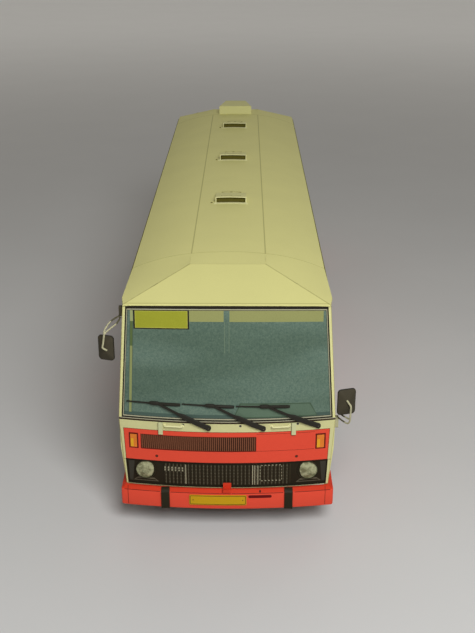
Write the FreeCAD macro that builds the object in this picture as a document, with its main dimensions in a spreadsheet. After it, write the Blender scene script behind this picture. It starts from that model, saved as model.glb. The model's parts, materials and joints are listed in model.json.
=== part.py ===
import FreeCAD, Part
import math
import os
import Sketcher
from types import SimpleNamespace

# Card model of a high-floor city bus at 1:43, in millimetres.
# The front faces -Y, +X is the bus's own left side, +Z is up.
# The origin is on the ground, midway between the two bumper faces.

os.makedirs("parts", exist_ok=True)
doc = FreeCAD.newDocument("card_bus")
V = FreeCAD.Vector

driving_sizes = [
    ("wall", 0.4, "thickness of one layer of card"),
    ("glue_gap", 0.05, "gap between two pieces that are glued together"),
    ("overall_length", 257.1, "from bumper face to bumper face"),
    ("belt_half", 29.05, "half width at the crease under the windows"),
    ("eave_tuck", 1.85, "how much narrower the roof is at its eaves than the flanks at the crease"),
    ("sill_tuck", 1.35, "how much narrower the skirts and the front panel's foot are than the crease"),
    ("hip_tuck", 0.15, "how much narrower the flank is at the hip than at the crease"),
    ("skirt_height", 8.2, "height of the skirts' lower edge"),
    ("sill_height", 13.3, "height of the front panel's lower edge"),
    ("hip_rise", 10.7, "from the front panel's foot up to the line where the flank turns under"),
    ("panel_tall", 20.0, "from the front panel's foot up to the crease"),
    ("upper_tall", 31.8, "from the crease up to the eaves"),
    ("seam_rise", 4.5, "from the eaves up to the roof seams"),
    ("crown_rise", 0.5, "from the roof seams up to the middle of the roof"),
    ("seam_half", 10.4, "half distance between the roof seams"),
    ("roof_bulge", 0.7, "bulge of the roof's sides between eaves and seams"),
    ("eave_overhang", 0.2, "how far the eaves stand out over the flanks"),
    ("head_clearance", 0.3, "how far the front lip stands out over the windscreen"),
    ("lip_setback", 7.0, "front lip of the roof, behind the bumper face"),
    ("belt_corner_setback", 4.7, "front crease at the corners, behind the bumper face"),
    ("belt_centre_setback", 1.9, "front crease at the middle, behind the bumper face"),
    ("sill_corner_setback", 4.2, "front panel's foot at the corners, behind the bumper face"),
    ("sill_centre_setback", 1.7, "front panel's foot at the middle, behind the bumper face"),
    ("head_bow", 0.2, "bow of the windscreen's upper edge"),
    ("corner_cut_in", 0.6, "roof corner facet, across"),
    ("corner_cut_back", 4.8, "roof corner facet, along the eaves"),
    ("nose_hip_back", 20.5, "from the lip back to the line where the roof's nose starts to fall"),
    ("nose_arch_back", 29.3, "from the lip back to the first roof arch"),
    ("tail_lip_setback", 8.3, "rear lip of the roof, ahead of the bumper face"),
    ("tail_belt_corner_setback", 5.6, "rear crease at the corners, ahead of the bumper face"),
    ("tail_belt_centre_setback", 3.4, "rear crease at the middle, ahead of the bumper face"),
    ("tail_sill_corner_setback", 5.0, "rear panel's foot at the corners, ahead of the bumper face"),
    ("tail_sill_centre_setback", 2.6, "rear panel's foot at the middle, ahead of the bumper face"),
    ("tail_hip_back", 10.5, "from the rear lip to the line where the tail of the roof starts to fall"),
    ("tail_arch_back", 18.2, "from the rear lip to the last roof arch"),
    ("post_width", 0.8, "width of the windscreen's corner posts"),
    ("screen_rail", 0.9, "height of the cream rail under the windscreen"),
    ("header_rail", 0.5, "height of the cream rail over the windscreen"),
    ("bumper_stand", 1.35, "how far the bumpers stand out over the skirts, at the sides"),
    ("bumper_tall", 4.7, "height of the bumpers' upright face"),
    ("bumper_fold_drop", 0.7, "from the front panel's foot down to the fold along the bumpers"),
    ("bumper_slope", 1.0, "how far the bumpers' top slopes in over that height"),
    ("bumper_bow", 2.4, "how far the bumpers' corners sweep back"),
    ("bumper_reach", 12.3, "how far the bumpers' ends reach along the flanks"),
    ("bumper_corner", 1.1, "rounding of the bumpers' lower outer corners"),
    ("slot_start", 5.8, "inner end of the slot in the front bumper, from the middle"),
    ("slot_long", 6.4, "length of that slot"),
    ("slot_tall", 1.0, "height of that slot"),
    ("slot_rise", 2.8, "from the bumper's lower edge up to the middle of that slot"),
    ("slot_deep", 0.3, "depth of that slot"),
    ("floor_clearance", 1.0, "from the top of an axle up to the floor's underside"),
    ("floor_thickness", 1.0, "thickness of the floor"),
    ("tyre_radius", 12.1, "outer radius of the tyres, also the height of the axles"),
    ("tyre_width", 6.4, "width of one tyre"),
    ("twin_gap", 0.8, "gap between the two tyres of a rear pair"),
    ("tyre_shoulder", 0.8, "rounding of the tyres' shoulders"),
    ("rim_radius", 6.9, "radius where the tyre sits on its rim"),
    ("rim_lip", 0.8, "width of the raised lip round a rim"),
    ("dish_depth", 1.8, "depth of the dish between rim lip and hub"),
    ("cap_radius", 2.4, "radius of the hub in the middle of a rim"),
    ("wheel_inset", 0.6, "from the foot of the flank in to the tyre's face"),
    ("wheel_clearance", 1.8, "from a tyre up to its arch and well"),
    ("well_gap", 0.6, "from a tyre's inner face to its well"),
    ("axle_radius", 0.6, "radius of the wire axles"),
    ("axle_inset", 1.5, "from a tyre's outer face in to the end of its axle"),
    ("running_gap", 0.06, "gap all round an axle in its wheel"),
    ("bearer_gap", 2.5, "from a rear well's inner wall to the block that carries the axle"),
    ("bearer_depth", 6.0, "length of those blocks along the bus"),
    ("bearer_cover", 1.9, "card left under the axle in its block"),
    ("window_rise", 3.3, "from the crease up to the side windows"),
    ("window_drop", 5.5, "from the eaves down to the side windows"),
    ("window_pillar", 2.6, "width of the posts between side windows"),
    ("window_count", 7, "side windows on the left between the cab window and the tail"),
    ("bay_window_count", 3, "side windows on the right between two doorways"),
    ("cab_window_start", 12.5, "front edge of the cab's side window, behind the bumper face"),
    ("cab_window_length", 22.0, "length of the cab's side window"),
    ("band_end", 13.5, "from the last side window's rear edge to the rear bumper face"),
    ("door_rise", 1.6, "from the skirts' lower edge up to the doors"),
    ("door_drop", 3.9, "from the eaves down to the doors"),
    ("door_length", 30.5, "length of a doorway"),
    ("door_front_start", 12.5, "front edge of the first doorway, behind the bumper face"),
    ("door_rear_end", 18.1, "rear edge of the last doorway, ahead of the rear bumper face"),
    ("leaf_count", 4, "leaves of one door"),
    ("leaf_frame", 1.2, "width of a leaf's frame round its glass"),
    ("leaf_groove", 0.3, "width of the groove between two leaves"),
    ("leaf_recess", 0.15, "depth of the glass and of the grooves in a door"),
    ("leaf_rail", 3.0, "height of the rail between a leaf's two panes"),
    ("front_arch_gap", 2.9, "from the first doorway back to the front arch"),
    ("rear_arch_gap", 4.6, "from the rear arch back to the last doorway"),
    ("vent_half", 5.1, "half width of a roof vent"),
    ("vent_length", 11.5, "length of a roof vent"),
    ("vent_lift", 1.75, "height of a vent's open front edge over the roof"),
    ("vent_front_gap", 47.1, "from the first roof arch back to the first vent"),
    ("vent_rear_gap", 18.7, "from the last vent back to the raised box on the roof"),
    ("intake_half", 7.4, "half width of that box's front face"),
    ("intake_tail_half", 4.7, "half width of that box's rear edge"),
    ("intake_rise", 3.5, "height of that box over the middle of the roof"),
    ("intake_tail_rise", 3.0, "height of that box's rear edge over the middle of the roof"),
    ("intake_start", 26.5, "from the rear bumper face to that box's front face"),
    ("intake_length", 16.5, "length of that box"),
    ("grille_drop", 3.7, "from the crease down to the slatted grille"),
    ("grille_tall", 5.0, "height of the slatted grille"),
    ("grille_inset", 5.85, "from the crease's right corner to the grille's end"),
    ("grille_long", 30.9, "length of the slatted grille"),
    ("slat_count", 57, "slats of the grille"),
    ("slat_share", 0.5, "share of the slats' spacing that a slat fills"),
    ("slat_setback", 0.1, "from the panel's face back to the slats"),
    ("mask_rise", 0.5, "from the front panel's foot up to the black lamp band"),
    ("mask_tall", 7.2, "height of the black lamp band"),
    ("mask_inset", 1.2, "from the front panel's edge to the lamp band's end"),
    ("rib_spacing", 1.2, "spacing of the upright ribs in the lamp band"),
    ("rib_width", 0.4, "width of those ribs"),
    ("rib_end_gap", 2.2, "from a headlamp to the nearest rib"),
    ("headlamp_radius", 2.4, "radius of a headlamp"),
    ("headlamp_inset", 4.2, "from the lamp band's end to a headlamp's middle"),
    ("headlamp_rise", 4.8, "from the front panel's foot up to the headlamps' middle"),
    ("headlamp_proud", 0.5, "how far a headlamp's rim stands out of the lamp band"),
    ("headlamp_dome", 0.45, "how far a headlamp's glass bulges"),
    ("headlamp_glass", 2.05, "radius of a headlamp's glass"),
    ("headlamp_deep", 1.6, "depth of a headlamp behind its rim"),
    ("indicator_inset", 3.4, "from the panel's edge in to an indicator's middle"),
    ("indicator_width", 2.9, "width of an indicator"),
    ("indicator_drop", 3.95, "from the crease down to the indicators"),
    ("indicator_tall", 4.9, "height of an indicator"),
    ("indicator_proud", 0.15, "how far the indicators stand out of the panel"),
    ("strap_out", 16.9, "bumper straps from the middle"),
    ("strap_width", 2.3, "width of a bumper strap"),
    ("strap_proud", 0.45, "how far a strap stands out of the bumper"),
    ("strap_wrap", 1.2, "how far a strap reaches under the bumper"),
    ("tab_width", 2.3, "width of the towing tab"),
    ("tab_hang", 1.1, "how far the towing tab hangs down the bumper's face"),
    ("hinge_tab_gap", 8.2, "from the middle wiper's pivot across to a hinge tab's middle"),
    ("hinge_tab_width", 1.2, "width of a hinge tab"),
    ("hinge_tab_drop", 0.6, "from the crease down to the hinge tabs"),
    ("hinge_tab_tall", 3.2, "height of a hinge tab"),
    ("handle_gap", 4.7, "from the middle wiper's pivot across to a grab handle's middle"),
    ("handle_width", 5.2, "width of a grab handle"),
    ("handle_drop", 1.4, "from the crease down to the grab handles"),
    ("handle_bar", 0.4, "thickness of a grab handle"),
    ("handle_stand_off", 0.9, "how far a grab handle stands off the panel"),
    ("plate_rear_half", 6.0, "half width of the rear number plate"),
    ("plate_right", 10.3, "number plate's end on the bus's right, from the middle"),
    ("plate_left", 5.1, "number plate's end on the bus's left, from the middle"),
    ("plate_rise", 0.5, "from the bumper's lower edge up to the number plate"),
    ("plate_tall", 3.1, "height of the number plates"),
    ("wiper_inset", 2.55, "from the crease's right corner to the first blade's tip"),
    ("blade_gap", 0.5, "gap between two wiper blades"),
    ("blade_width", 0.5, "height of a wiper blade"),
    ("blade_rise", 5.9, "from the crease up to a wiper blade's tip"),
    ("blade_fall", 0.6, "how much lower a blade's heel is than its tip"),
    ("arm_hold", 0.4, "share of the blade's length from its tip to its arm"),
    ("arm_width", 1.1, "width of a wiper arm at its pivot"),
    ("pivot_out", 7.6, "from a blade's heel across to its pivot"),
    ("pivot_inset", 4.95, "from the last pivot to the crease's left corner"),
    ("pivot_drop", 1.6, "from the crease down to the wipers' pivots"),
    ("pivot_radius", 0.65, "radius of a wiper's pivot"),
    ("wiper_thickness", 0.3, "thickness of the wipers' blades and arms"),
    ("wiper_lift", 0.25, "gap between a wiper and the surface behind it"),
    ("clip_half", 1.0, "half length of the clip between a blade and its arm"),
    ("clip_width", 0.75, "height of that clip"),
    ("wire_radius", 0.26, "radius of the wire mirror arms"),
    ("mirror_out", 2.4, "from the crease out to the middle of a mirror"),
    ("mirror_width", 4.4, "width of a mirror housing"),
    ("mirror_tall", 7.3, "height of a mirror housing"),
    ("mirror_deep", 1.5, "depth of a mirror housing"),
    ("mirror_rim", 0.4, "depth of a mirror housing's straight rim"),
    ("mirror_corner", 0.9, "rounding of a mirror housing's corners"),
    ("mirror_peak", 0.6, "half width of the flat on a mirror housing's front"),
    ("mirror_peak_tall", 1.0, "half height of that flat"),
    ("right_mirror_drop", 11.1, "from the eaves down to the right mirror's middle"),
    ("left_mirror_rise", 5.1, "from the crease up to the left mirror's middle"),
    ("mirror_setback", 6.2, "mirror glass behind the bumper face"),
    ("bracket_setback", 9.0, "mirror brackets behind the bumper face"),
    ("bracket_width", 1.2, "how far a mirror bracket stands out"),
    ("bracket_tall", 2.6, "height of a mirror bracket"),
    ("right_bracket_drop", 4.4, "from the eaves down to the right mirror's bracket"),
    ("left_bracket_drop", 1.4, "from the crease down to the left mirror's bracket"),
    ("arm_rise", 1.0, "from the right mirror's top up to the bend of its arm"),
    ("arm_fall", 2.3, "from the left mirror's foot down to the bend of its arm"),
    ("arm_spread", 0.65, "how far each of an arm's two wires bows out"),
    ("rear_window_inset", 5.2, "from the eaves' corner to the rear window"),
    ("rear_window_rise", 4.3, "from the crease up to the rear window"),
    ("rear_window_drop", 6.1, "from the eaves down to the rear window"),
    ("hatch_inset", 10.2, "from the rear panel's edge to the engine hatch"),
    ("hatch_rise", 1.9, "from the rear panel's foot up to the engine hatch"),
    ("hatch_drop", 2.7, "from the crease down to the engine hatch"),
    ("louvre_count", 9, "louvres in one row of the engine hatch"),
    ("louvre_proud", 0.3, "how far a louvre stands out of the hatch"),
    ("louvre_margin", 1.4, "plain edge round the louvres"),
    ("tail_lamp_inset", 4.1, "from the rear panel's edge to a tail lamp's middle"),
    ("tail_lamp_width", 4.0, "width of a tail lamp cluster"),
    ("tail_lamp_rise", 3.1, "from the rear panel's foot up to the tail lamps"),
    ("tail_lamp_drop", 4.1, "from the crease down to the tail lamps"),
    ("tail_lamp_proud", 0.15, "how far the tail lamps stand out of the panel"),
]

# How finely round and bowed forms are divided

bow_steps = 10
roof_side_steps = 5
roof_crown_steps = 4
tyre_sides = 32
hub_sides = 16
lamp_sides = 16
arch_steps = 12
round_steps = 4
wire_sides = 6

sheet = doc.addObject("Spreadsheet::Sheet", "Sizes")
for row, (alias, number, note) in enumerate(driving_sizes, 1):
    sheet.set(f"A{row}", note)
    sheet.set(f"B{row}", str(number))
    sheet.setAlias(f"B{row}", alias)
doc.recompute()


class Rule:
    # A size with both its number and the expression that binds it to the sheet.
    def __init__(self, value, text):
        self.value = float(value)
        self.text = text

    def __float__(self):
        return self.value

    def __add__(self, other):
        other = as_rule(other)
        return Rule(self.value + other.value, f"({self.text} + {other.text})")

    def __sub__(self, other):
        other = as_rule(other)
        return Rule(self.value - other.value, f"({self.text} - {other.text})")

    def __mul__(self, other):
        other = as_rule(other)
        return Rule(self.value * other.value, f"({self.text} * {other.text})")

    def __truediv__(self, other):
        other = as_rule(other)
        return Rule(self.value / other.value, f"({self.text} / {other.text})")

    def __neg__(self):
        return self * -1

    def __radd__(self, other):
        return as_rule(other) + self

    def __rsub__(self, other):
        return as_rule(other) - self

    def __rmul__(self, other):
        return as_rule(other) * self


def as_rule(item):
    if isinstance(item, Rule):
        return item
    return Rule(item, f"({item})")


def bind(item, prop, rule):
    item.setExpression(prop, as_rule(rule).text)


def whole(rule):
    return round(float(rule))


size = SimpleNamespace()
for alias, number, note in driving_sizes:
    setattr(size, alias, Rule(sheet.get(alias), f"Sizes.{alias}"))

nodes = []


def keep(item, label):
    item.Label = label
    nodes.append(item)
    return item


def stored(label, shape):
    item = doc.addObject("Part::Feature", label)
    item.Shape = shape
    return keep(item, label)


# Places along the bus, counted back from the front bumper's face or forward from the rear one's

def from_front(setback):
    return setback - size.overall_length / 2


def from_rear(setback):
    return size.overall_length / 2 - setback


sill_half = size.belt_half - size.sill_tuck
eave_half = size.belt_half - size.eave_tuck
hip_height = size.sill_height + size.hip_rise
belt_height = size.sill_height + size.panel_tall
eave_height = belt_height + size.upper_tall
seam_height = eave_height + size.seam_rise
crown_height = seam_height + size.crown_rise
bumper_fold = size.sill_height - size.bumper_fold_drop
bumper_low = bumper_fold - size.bumper_tall
bumper_half = sill_half + size.bumper_stand
axle_height = size.tyre_radius
well_radius = size.tyre_radius + size.wheel_clearance
floor_low = axle_height + size.axle_radius + size.floor_clearance
floor_top = floor_low + size.floor_thickness
front_y = from_front(0)
rear_y = from_rear(0)
head_y = from_front(size.lip_setback + size.head_clearance)
front_axle = from_front(size.door_front_start + size.door_length + size.front_arch_gap) + well_radius
rear_axle = from_rear(size.door_rear_end + size.door_length + size.rear_arch_gap) - well_radius
wheel_face = sill_half - size.wheel_inset
twin_width = size.tyre_width * 2 + size.twin_gap
past = size.belt_half  # far enough for a cutter to run out of the sheet that it cuts


# The flank's outer half width at a height over the crease

def flank_at(height):
    top = eave_half - size.eave_overhang
    share = (eave_height - height) / (eave_height - belt_height)
    return top + (size.belt_half - top) * share


# Sketches with every corner tied to the sheet, and the bodies made of them

def add_sketch(body, label, plane, outlines, lift=0):
    sketch = body.newObject("Sketcher::SketchObject", label)
    support = [item for item in body.Origin.OriginFeatures if item.Role == plane][0]
    sketch.AttachmentSupport = [(support, "")]
    sketch.MapMode = "FlatFace"
    bind(sketch, "AttachmentOffset.Base.z", lift)
    for corners in outlines:
        first = sketch.GeometryCount
        spots = [V(float(as_rule(across)), float(as_rule(up)), 0) for across, up in corners]
        for index, spot in enumerate(spots):
            sketch.addGeometry(Part.LineSegment(spot, spots[(index + 1) % len(spots)]))
        for index in range(len(spots)):
            following = first + (index + 1) % len(spots)
            sketch.addConstraint(Sketcher.Constraint("Coincident", first + index, 2, following, 1))
        for index, (across, up) in enumerate(corners):
            pin(sketch, "DistanceX", first + index, across)
            pin(sketch, "DistanceY", first + index, up)
    return sketch


def pin(sketch, kind, line, rule):
    rule = as_rule(rule)
    number = sketch.addConstraint(Sketcher.Constraint(kind, -1, 1, line, 1, rule.value))
    word = f"{kind}_{line}"
    sketch.renameConstraint(number, word)
    sketch.setExpression(f"Constraints.{word}", rule.text)


def new_body(label):
    body = doc.addObject("PartDesign::Body", label)
    body.AllowCompound = True
    return body


def add_pad(body, plane, outlines, lift, length, reverse=False):
    label = f"{body.Name}_outline_{len(body.Group)}"
    sketch = add_sketch(body, label, plane, outlines, lift)
    pad = body.newObject("PartDesign::Pad", f"{label}_pad")
    pad.Profile = sketch
    pad.Reversed = reverse
    bind(pad, "Length", length)
    body.Tip = pad
    return pad


def add_cut(body, plane, outlines, lift=0):
    label = f"{body.Name}_cut_{len(body.Group)}"
    sketch = add_sketch(body, label, plane, outlines, lift)
    pocket = body.newObject("PartDesign::Pocket", f"{label}_pocket")
    pocket.Profile = sketch
    pocket.Type = "ThroughAll"
    pocket.Midplane = True
    body.Tip = pocket
    return pocket


def box_outline(low_a, high_a, low_b, high_b):
    return [(low_a, low_b), (high_a, low_b), (high_a, high_b), (low_a, high_b)]


def cut_from(base, tool, label):
    cut = doc.addObject("Part::Cut", f"{label}_cut")
    cut.Base = base
    cut.Tool = tool
    base.Label = f"{label}_sheet"
    return keep(cut, label)


def cross_bar(label, radius, half, y, height):
    # a round bar across the bus
    bar = doc.addObject("Part::Cylinder", label)
    bar.Placement = FreeCAD.Placement(V(0, 0, 0), FreeCAD.Rotation(V(0, 1, 0), 90))
    bind(bar, "Radius", radius)
    bind(bar, "Height", half * 2)
    bind(bar, "Placement.Base.x", -half)
    bind(bar, "Placement.Base.y", y)
    bind(bar, "Placement.Base.z", height)
    return bar


# Plain solids from corners

def spot(x, y, z):
    return V(float(x), float(y), float(z))


def closed(corners):
    return Part.makePolygon(corners + corners[:1])


def prism(corners, low_y, high_y):
    face = Part.Face(closed([spot(across, low_y, up) for across, up in corners]))
    return face.extrude(spot(0, high_y - low_y, 0))


def block(low, high):
    return Part.makeBox(*[float(b) - float(a) for a, b in zip(low, high)], spot(*low))


def solid_of(faces):
    shell = Part.makeShell(faces)
    shell.sewShape()
    solid = Part.makeSolid(shell)
    if solid.Volume < 0:
        solid.reverse()
    return solid


def triangle(first, second, third):
    return Part.Face(closed([first, second, third]))


def faceted(rings):
    # a solid between rings of as many spots each, split along the shorter diagonals
    faces = [Part.Face(closed(rings[0])), Part.Face(closed(rings[-1]))]
    for here, there in zip(rings, rings[1:]):
        for index, corner in enumerate(here):
            following = (index + 1) % len(here)
            if corner.distanceToPoint(there[following]) < here[following].distanceToPoint(there[index]):
                faces.append(triangle(corner, here[following], there[following]))
                faces.append(triangle(corner, there[following], there[index]))
            else:
                faces.append(triangle(corner, here[following], there[index]))
                faces.append(triangle(here[following], there[following], there[index]))
    return solid_of(faces)


def round_outline(low_x, high_x, low_z, high_z, radius):
    # a box outline in the front view with rounded corners, walked round from its lower right
    centres = [(high_x - radius, low_z + radius, -90), (high_x - radius, high_z - radius, 0),
               (low_x + radius, high_z - radius, 90), (low_x + radius, low_z + radius, 180)]
    corners = []
    for x, z, start in centres:
        for index in range(round_steps + 1):
            angle = math.radians(start + 90 * index / round_steps)
            corners.append((x + radius * math.cos(angle), z + radius * math.sin(angle)))
    return corners


# Sheets that bow in plan, ruled between a lower and an upper edge.
# An edge is its half width, its places at the corners and at the middle, and its height.

def bow_spots(half, corner_y, centre_y, height):
    spots = []
    for index in range(bow_steps + 1):
        share = index / bow_steps * 2 - 1
        spots.append(spot(half * share, centre_y + (corner_y - centre_y) * share ** 2, height))
    return spots


def sheet_outline(edge, thickness):
    outer = bow_spots(*edge)
    return outer + [here + spot(0, thickness, 0) for here in reversed(outer)]


def bowed_sheet(low, high, thickness):
    return faceted([sheet_outline(low, thickness), sheet_outline(high, thickness)])


def sheet_y(low, high, x, z):
    # the outer face of such a sheet at a point of the front view
    share = (float(z) - float(low[3])) / (float(high[3]) - float(low[3]))
    half = float(low[0]) + (float(high[0]) - float(low[0])) * share
    across = (float(x) / half) ** 2
    ends = []
    for half, corner_y, centre_y, height in (low, high):
        ends.append(float(centre_y) + float(corner_y - centre_y) * across)
    return ends[0] + (ends[1] - ends[0]) * share


# Flanks: one sheet a side, folded at the hip and at the crease, with windows, arches and doorways cut

flank_front = from_front(size.sill_corner_setback) + size.wall + size.glue_gap
flank_rear = from_rear(size.tail_sill_corner_setback) - size.wall - size.glue_gap
flank_top = eave_height - size.wall - size.glue_gap
window_low = belt_height + size.window_rise
window_high = eave_height - size.window_drop
door_low = size.skirt_height + size.door_rise
door_high = eave_height - size.door_drop


def flank_outline(side, low, high, inner):
    # outer line and inner line of the folded sheet between two heights
    heights = [(low, sill_half)]
    if float(low) < float(size.sill_height):
        heights.append((size.sill_height, sill_half))
    if float(low) < float(hip_height) < float(high):
        heights.append((hip_height, size.belt_half - size.hip_tuck))
    if float(low) < float(belt_height) < float(high):
        heights.append((belt_height, size.belt_half))
    if float(low) >= float(belt_height):
        heights = [(low, flank_at(low))]
    if float(high) > float(belt_height):
        heights.append((high, flank_at(high)))
    elif float(high) > float(hip_height):
        heights.append((high, size.belt_half))
    outer = [((half + inner) * side, height) for height, half in heights]
    back = [((half + inner - size.wall) * side, height) for height, half in reversed(heights)]
    return outer + back


def flank_strip(label, side, low, high, start, end, inner=0):
    body = new_body(label)
    profile = [flank_outline(side, low, high, as_rule(inner))]
    add_pad(body, "XZ_Plane", profile, -start, end - start, reverse=True)
    return body


def end_trim(belt, sill, lip, sign, limit):
    # what lies beyond the sloping end of a flank
    inset = (size.wall + size.glue_gap) * sign
    top = flank_top + size.wall
    bottom = size.skirt_height - size.wall
    return [(sill + inset, bottom), (sill + inset, size.sill_height), (belt + inset, belt_height),
            (lip + inset, top), (limit, top), (limit, bottom)]


def spans_between(start, end, count):
    # equal windows with a post between two of them
    pitch = (end - start + size.window_pillar) / count
    spans = []
    for index in range(whole(count)):
        here = start + pitch * index
        spans.append((here, here + pitch - size.window_pillar))
    return spans


door_front = from_front(size.door_front_start)
door_rear = from_rear(size.door_rear_end + size.door_length)
door_starts = (door_front, (door_front + door_rear) / 2, door_rear)
doorways = [(start, start + size.door_length) for start in door_starts]
cab_window = from_front(size.cab_window_start)
window_spans = [(cab_window, cab_window + size.cab_window_length)]
window_spans += spans_between(window_spans[0][1] + size.window_pillar, from_rear(size.band_end),
                              size.window_count)
bays = []
for ahead, behind in zip(doorways, doorways[1:]):
    bays.append(spans_between(ahead[1] + size.window_pillar, behind[0] - size.window_pillar,
                              size.bay_window_count))

front_trim = end_trim(from_front(size.belt_corner_setback), from_front(size.sill_corner_setback), head_y, 1,
                      front_y)
rear_trim = end_trim(from_rear(size.tail_belt_corner_setback), from_rear(size.tail_sill_corner_setback),
                     from_rear(size.tail_lip_setback + size.head_clearance), -1, rear_y)
arches = doc.addObject("Part::MultiFuse", "wheel_arches")
arches.Shapes = [cross_bar("front_arch", well_radius, past, front_axle, axle_height),
                 cross_bar("rear_arch", well_radius, past, rear_axle, axle_height)]

for side, name, spans in ((1, "left", window_spans), (-1, "right", bays[0] + bays[1])):
    flank = flank_strip(f"side_{name}", side, size.skirt_height, flank_top, flank_front, flank_rear)
    add_cut(flank, "YZ_Plane", [front_trim, rear_trim])
    add_cut(flank, "YZ_Plane", [box_outline(start, end, window_low, window_high) for start, end in spans])
    if side < 0:
        add_cut(flank, "YZ_Plane", [box_outline(start, end, door_low, door_high) for start, end in doorways])
    cut_from(flank, arches, f"side_{name}")

# Glazing strips glued behind the window cut-outs

strip_inset = -size.wall - size.glue_gap
strip_lap = size.window_pillar / 3
glazed = (("left", 1, window_spans), ("right_front", -1, bays[0]), ("right_rear", -1, bays[1]))
for name, side, spans in glazed:
    strip = flank_strip(f"windows_{name}", side, window_low - strip_lap, window_high + strip_lap,
                        spans[0][0] - strip_lap, spans[-1][1] + strip_lap, strip_inset)
    keep(strip, f"windows_{name}")

# Doors: folding leaves with two recessed panes each, and a groove between the leaves

leaf_skin = size.wall - size.leaf_recess
for name, (start, end) in zip(("front", "middle", "rear"), doorways):
    gap = size.glue_gap
    low = door_low + gap
    high = door_high - gap
    door = flank_strip(f"door_{name}", -1, low, high, start + gap, end - gap)
    leaf = (end - start) / size.leaf_count
    split = belt_height - size.leaf_rail / 2
    panes = [(low + size.leaf_rail, split), (split + size.leaf_rail, high - size.leaf_frame)]
    recess = new_body(f"door_{name}_recess")
    for index in range(whole(size.leaf_count)):
        here = start + leaf * index
        for foot, head in panes:
            outline = flank_outline(-1, foot, head, leaf_skin)
            add_pad(recess, "XZ_Plane", [outline], -here - size.leaf_frame, leaf - size.leaf_frame * 2, True)
        if index:
            outline = flank_outline(-1, low - gap, high + gap, leaf_skin)
            add_pad(recess, "XZ_Plane", [outline], size.leaf_groove / 2 - here, size.leaf_groove, True)
    cut_from(door, recess, f"door_{name}")

# Roof: a sheet folded over two seams, and two hipped caps

nose_arch = from_front(size.lip_setback + size.nose_arch_back)
tail_arch = from_rear(size.tail_lip_setback + size.tail_arch_back)


def roof_lines(drop):
    # the roof's section in three runs, from the left eave over the crown to the right eave
    eave = (float(eave_half), float(eave_height) - drop)
    seam = (float(size.seam_half), float(seam_height) - drop)
    bulge = float(size.roof_bulge) * 4
    left = []
    for index in range(roof_side_steps + 1):
        share = index / roof_side_steps
        swell = bulge * share * (1 - share)
        lean = (eave[0] - seam[0], seam[1] - eave[1])
        long = math.hypot(*lean)
        left.append((eave[0] - lean[0] * share + swell * lean[1] / long,
                     eave[1] + lean[1] * share + swell * lean[0] / long))
    crown = []
    for index in range(roof_crown_steps + 1):
        share = 1 - 2 * index / roof_crown_steps
        crown.append((seam[0] * share, seam[1] + float(size.crown_rise) * (1 - share ** 2)))
    right = [(-x, z) for x, z in reversed(left)]
    return left, crown, right


def roof_solid(start, end, drop):
    left, crown, right = roof_lines(drop)
    base = float(eave_height - size.wall) - drop
    corners = left + crown[1:-1] + right + [(right[-1][0], base), (left[0][0], base)]
    return prism(corners, start, end)


raised_box = from_rear(size.intake_start)
first_vent = nose_arch + size.vent_front_gap
last_vent = raised_box - size.vent_rear_gap - size.vent_length
vent_starts = [first_vent, (first_vent + last_vent) / 2, last_vent]
roof = roof_solid(nose_arch, tail_arch, 0)
roof = roof.cut(roof_solid(nose_arch - size.wall, tail_arch + size.wall, float(size.wall)))
for start in vent_starts:
    roof = roof.cut(block((-size.vent_half, start, eave_height),
                          (size.vent_half, start + size.vent_length, crown_height + size.wall)))
stored("roof_middle", roof)


def fan(start, end, line):
    # facets between the straight edge from start to end and a line of spots that runs beside it
    middle = len(line) // 2
    faces = [triangle(start, end, line[middle])]
    for index in range(len(line) - 1):
        corner = start if index < middle else end
        faces.append(triangle(corner, line[index], line[index + 1]))
    return faces


def cap_solid(lip, hip, arch, drop):
    # lip, hip and arch are places along the bus, so the same form serves nose and tail
    step = 1 if float(arch) > float(lip) else -1
    eave = float(eave_height) - drop
    base = float(eave_height - size.wall) - drop
    ridge = float(seam_height) - drop
    cut_y = lip + size.corner_cut_back * step
    lines = [[spot(x, arch, z) for x, z in line] for line in roof_lines(drop)]
    hips = [spot(side * size.seam_half, hip, ridge) for side in (1, -1)]
    lips = [spot(side * (eave_half - size.corner_cut_in), lip, eave) for side in (1, -1)]
    cuts = [spot(side * eave_half, cut_y, eave) for side in (1, -1)]
    faces = [Part.Face(closed([lips[0], hips[0], hips[1], lips[1]]))]
    faces += fan(cuts[0], hips[0], lines[0])
    faces += fan(hips[0], hips[1], lines[1])
    faces += fan(hips[1], cuts[1], lines[2])
    for side in (0, 1):
        faces.append(triangle(lips[side], cuts[side], hips[side]))
    rim = [lines[0][0], cuts[0], lips[0], lips[1], cuts[1], lines[2][-1]]
    foot = [spot(here.x, here.y, base) for here in rim]
    for index in range(len(rim) - 1):
        faces.append(Part.Face(closed([rim[index], rim[index + 1], foot[index + 1], foot[index]])))
    faces.append(Part.Face(closed(foot)))
    back = lines[0] + lines[1][1:-1] + lines[2] + [foot[-1], foot[0]]
    faces.append(Part.Face(closed(back)))
    return solid_of(faces)


nose_lip = from_front(size.lip_setback)
tail_lip = from_rear(size.tail_lip_setback)
for name, step, lip, hip, arch in (("nose", 1, nose_lip, nose_lip + size.nose_hip_back, nose_arch),
                                   ("tail", -1, tail_lip, tail_lip - size.tail_hip_back, tail_arch)):
    outer = cap_solid(lip, hip, arch - size.glue_gap * step, 0)
    inner = cap_solid(lip + size.wall * 2 * step, hip + size.wall * step, arch + size.wall * step,
                      float(size.wall))
    stored(f"roof_{name}", outer.cut(inner))
tail_form = outer

# Roof vents: a lid raised at the front on two cheeks, over its hole in the roof

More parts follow.
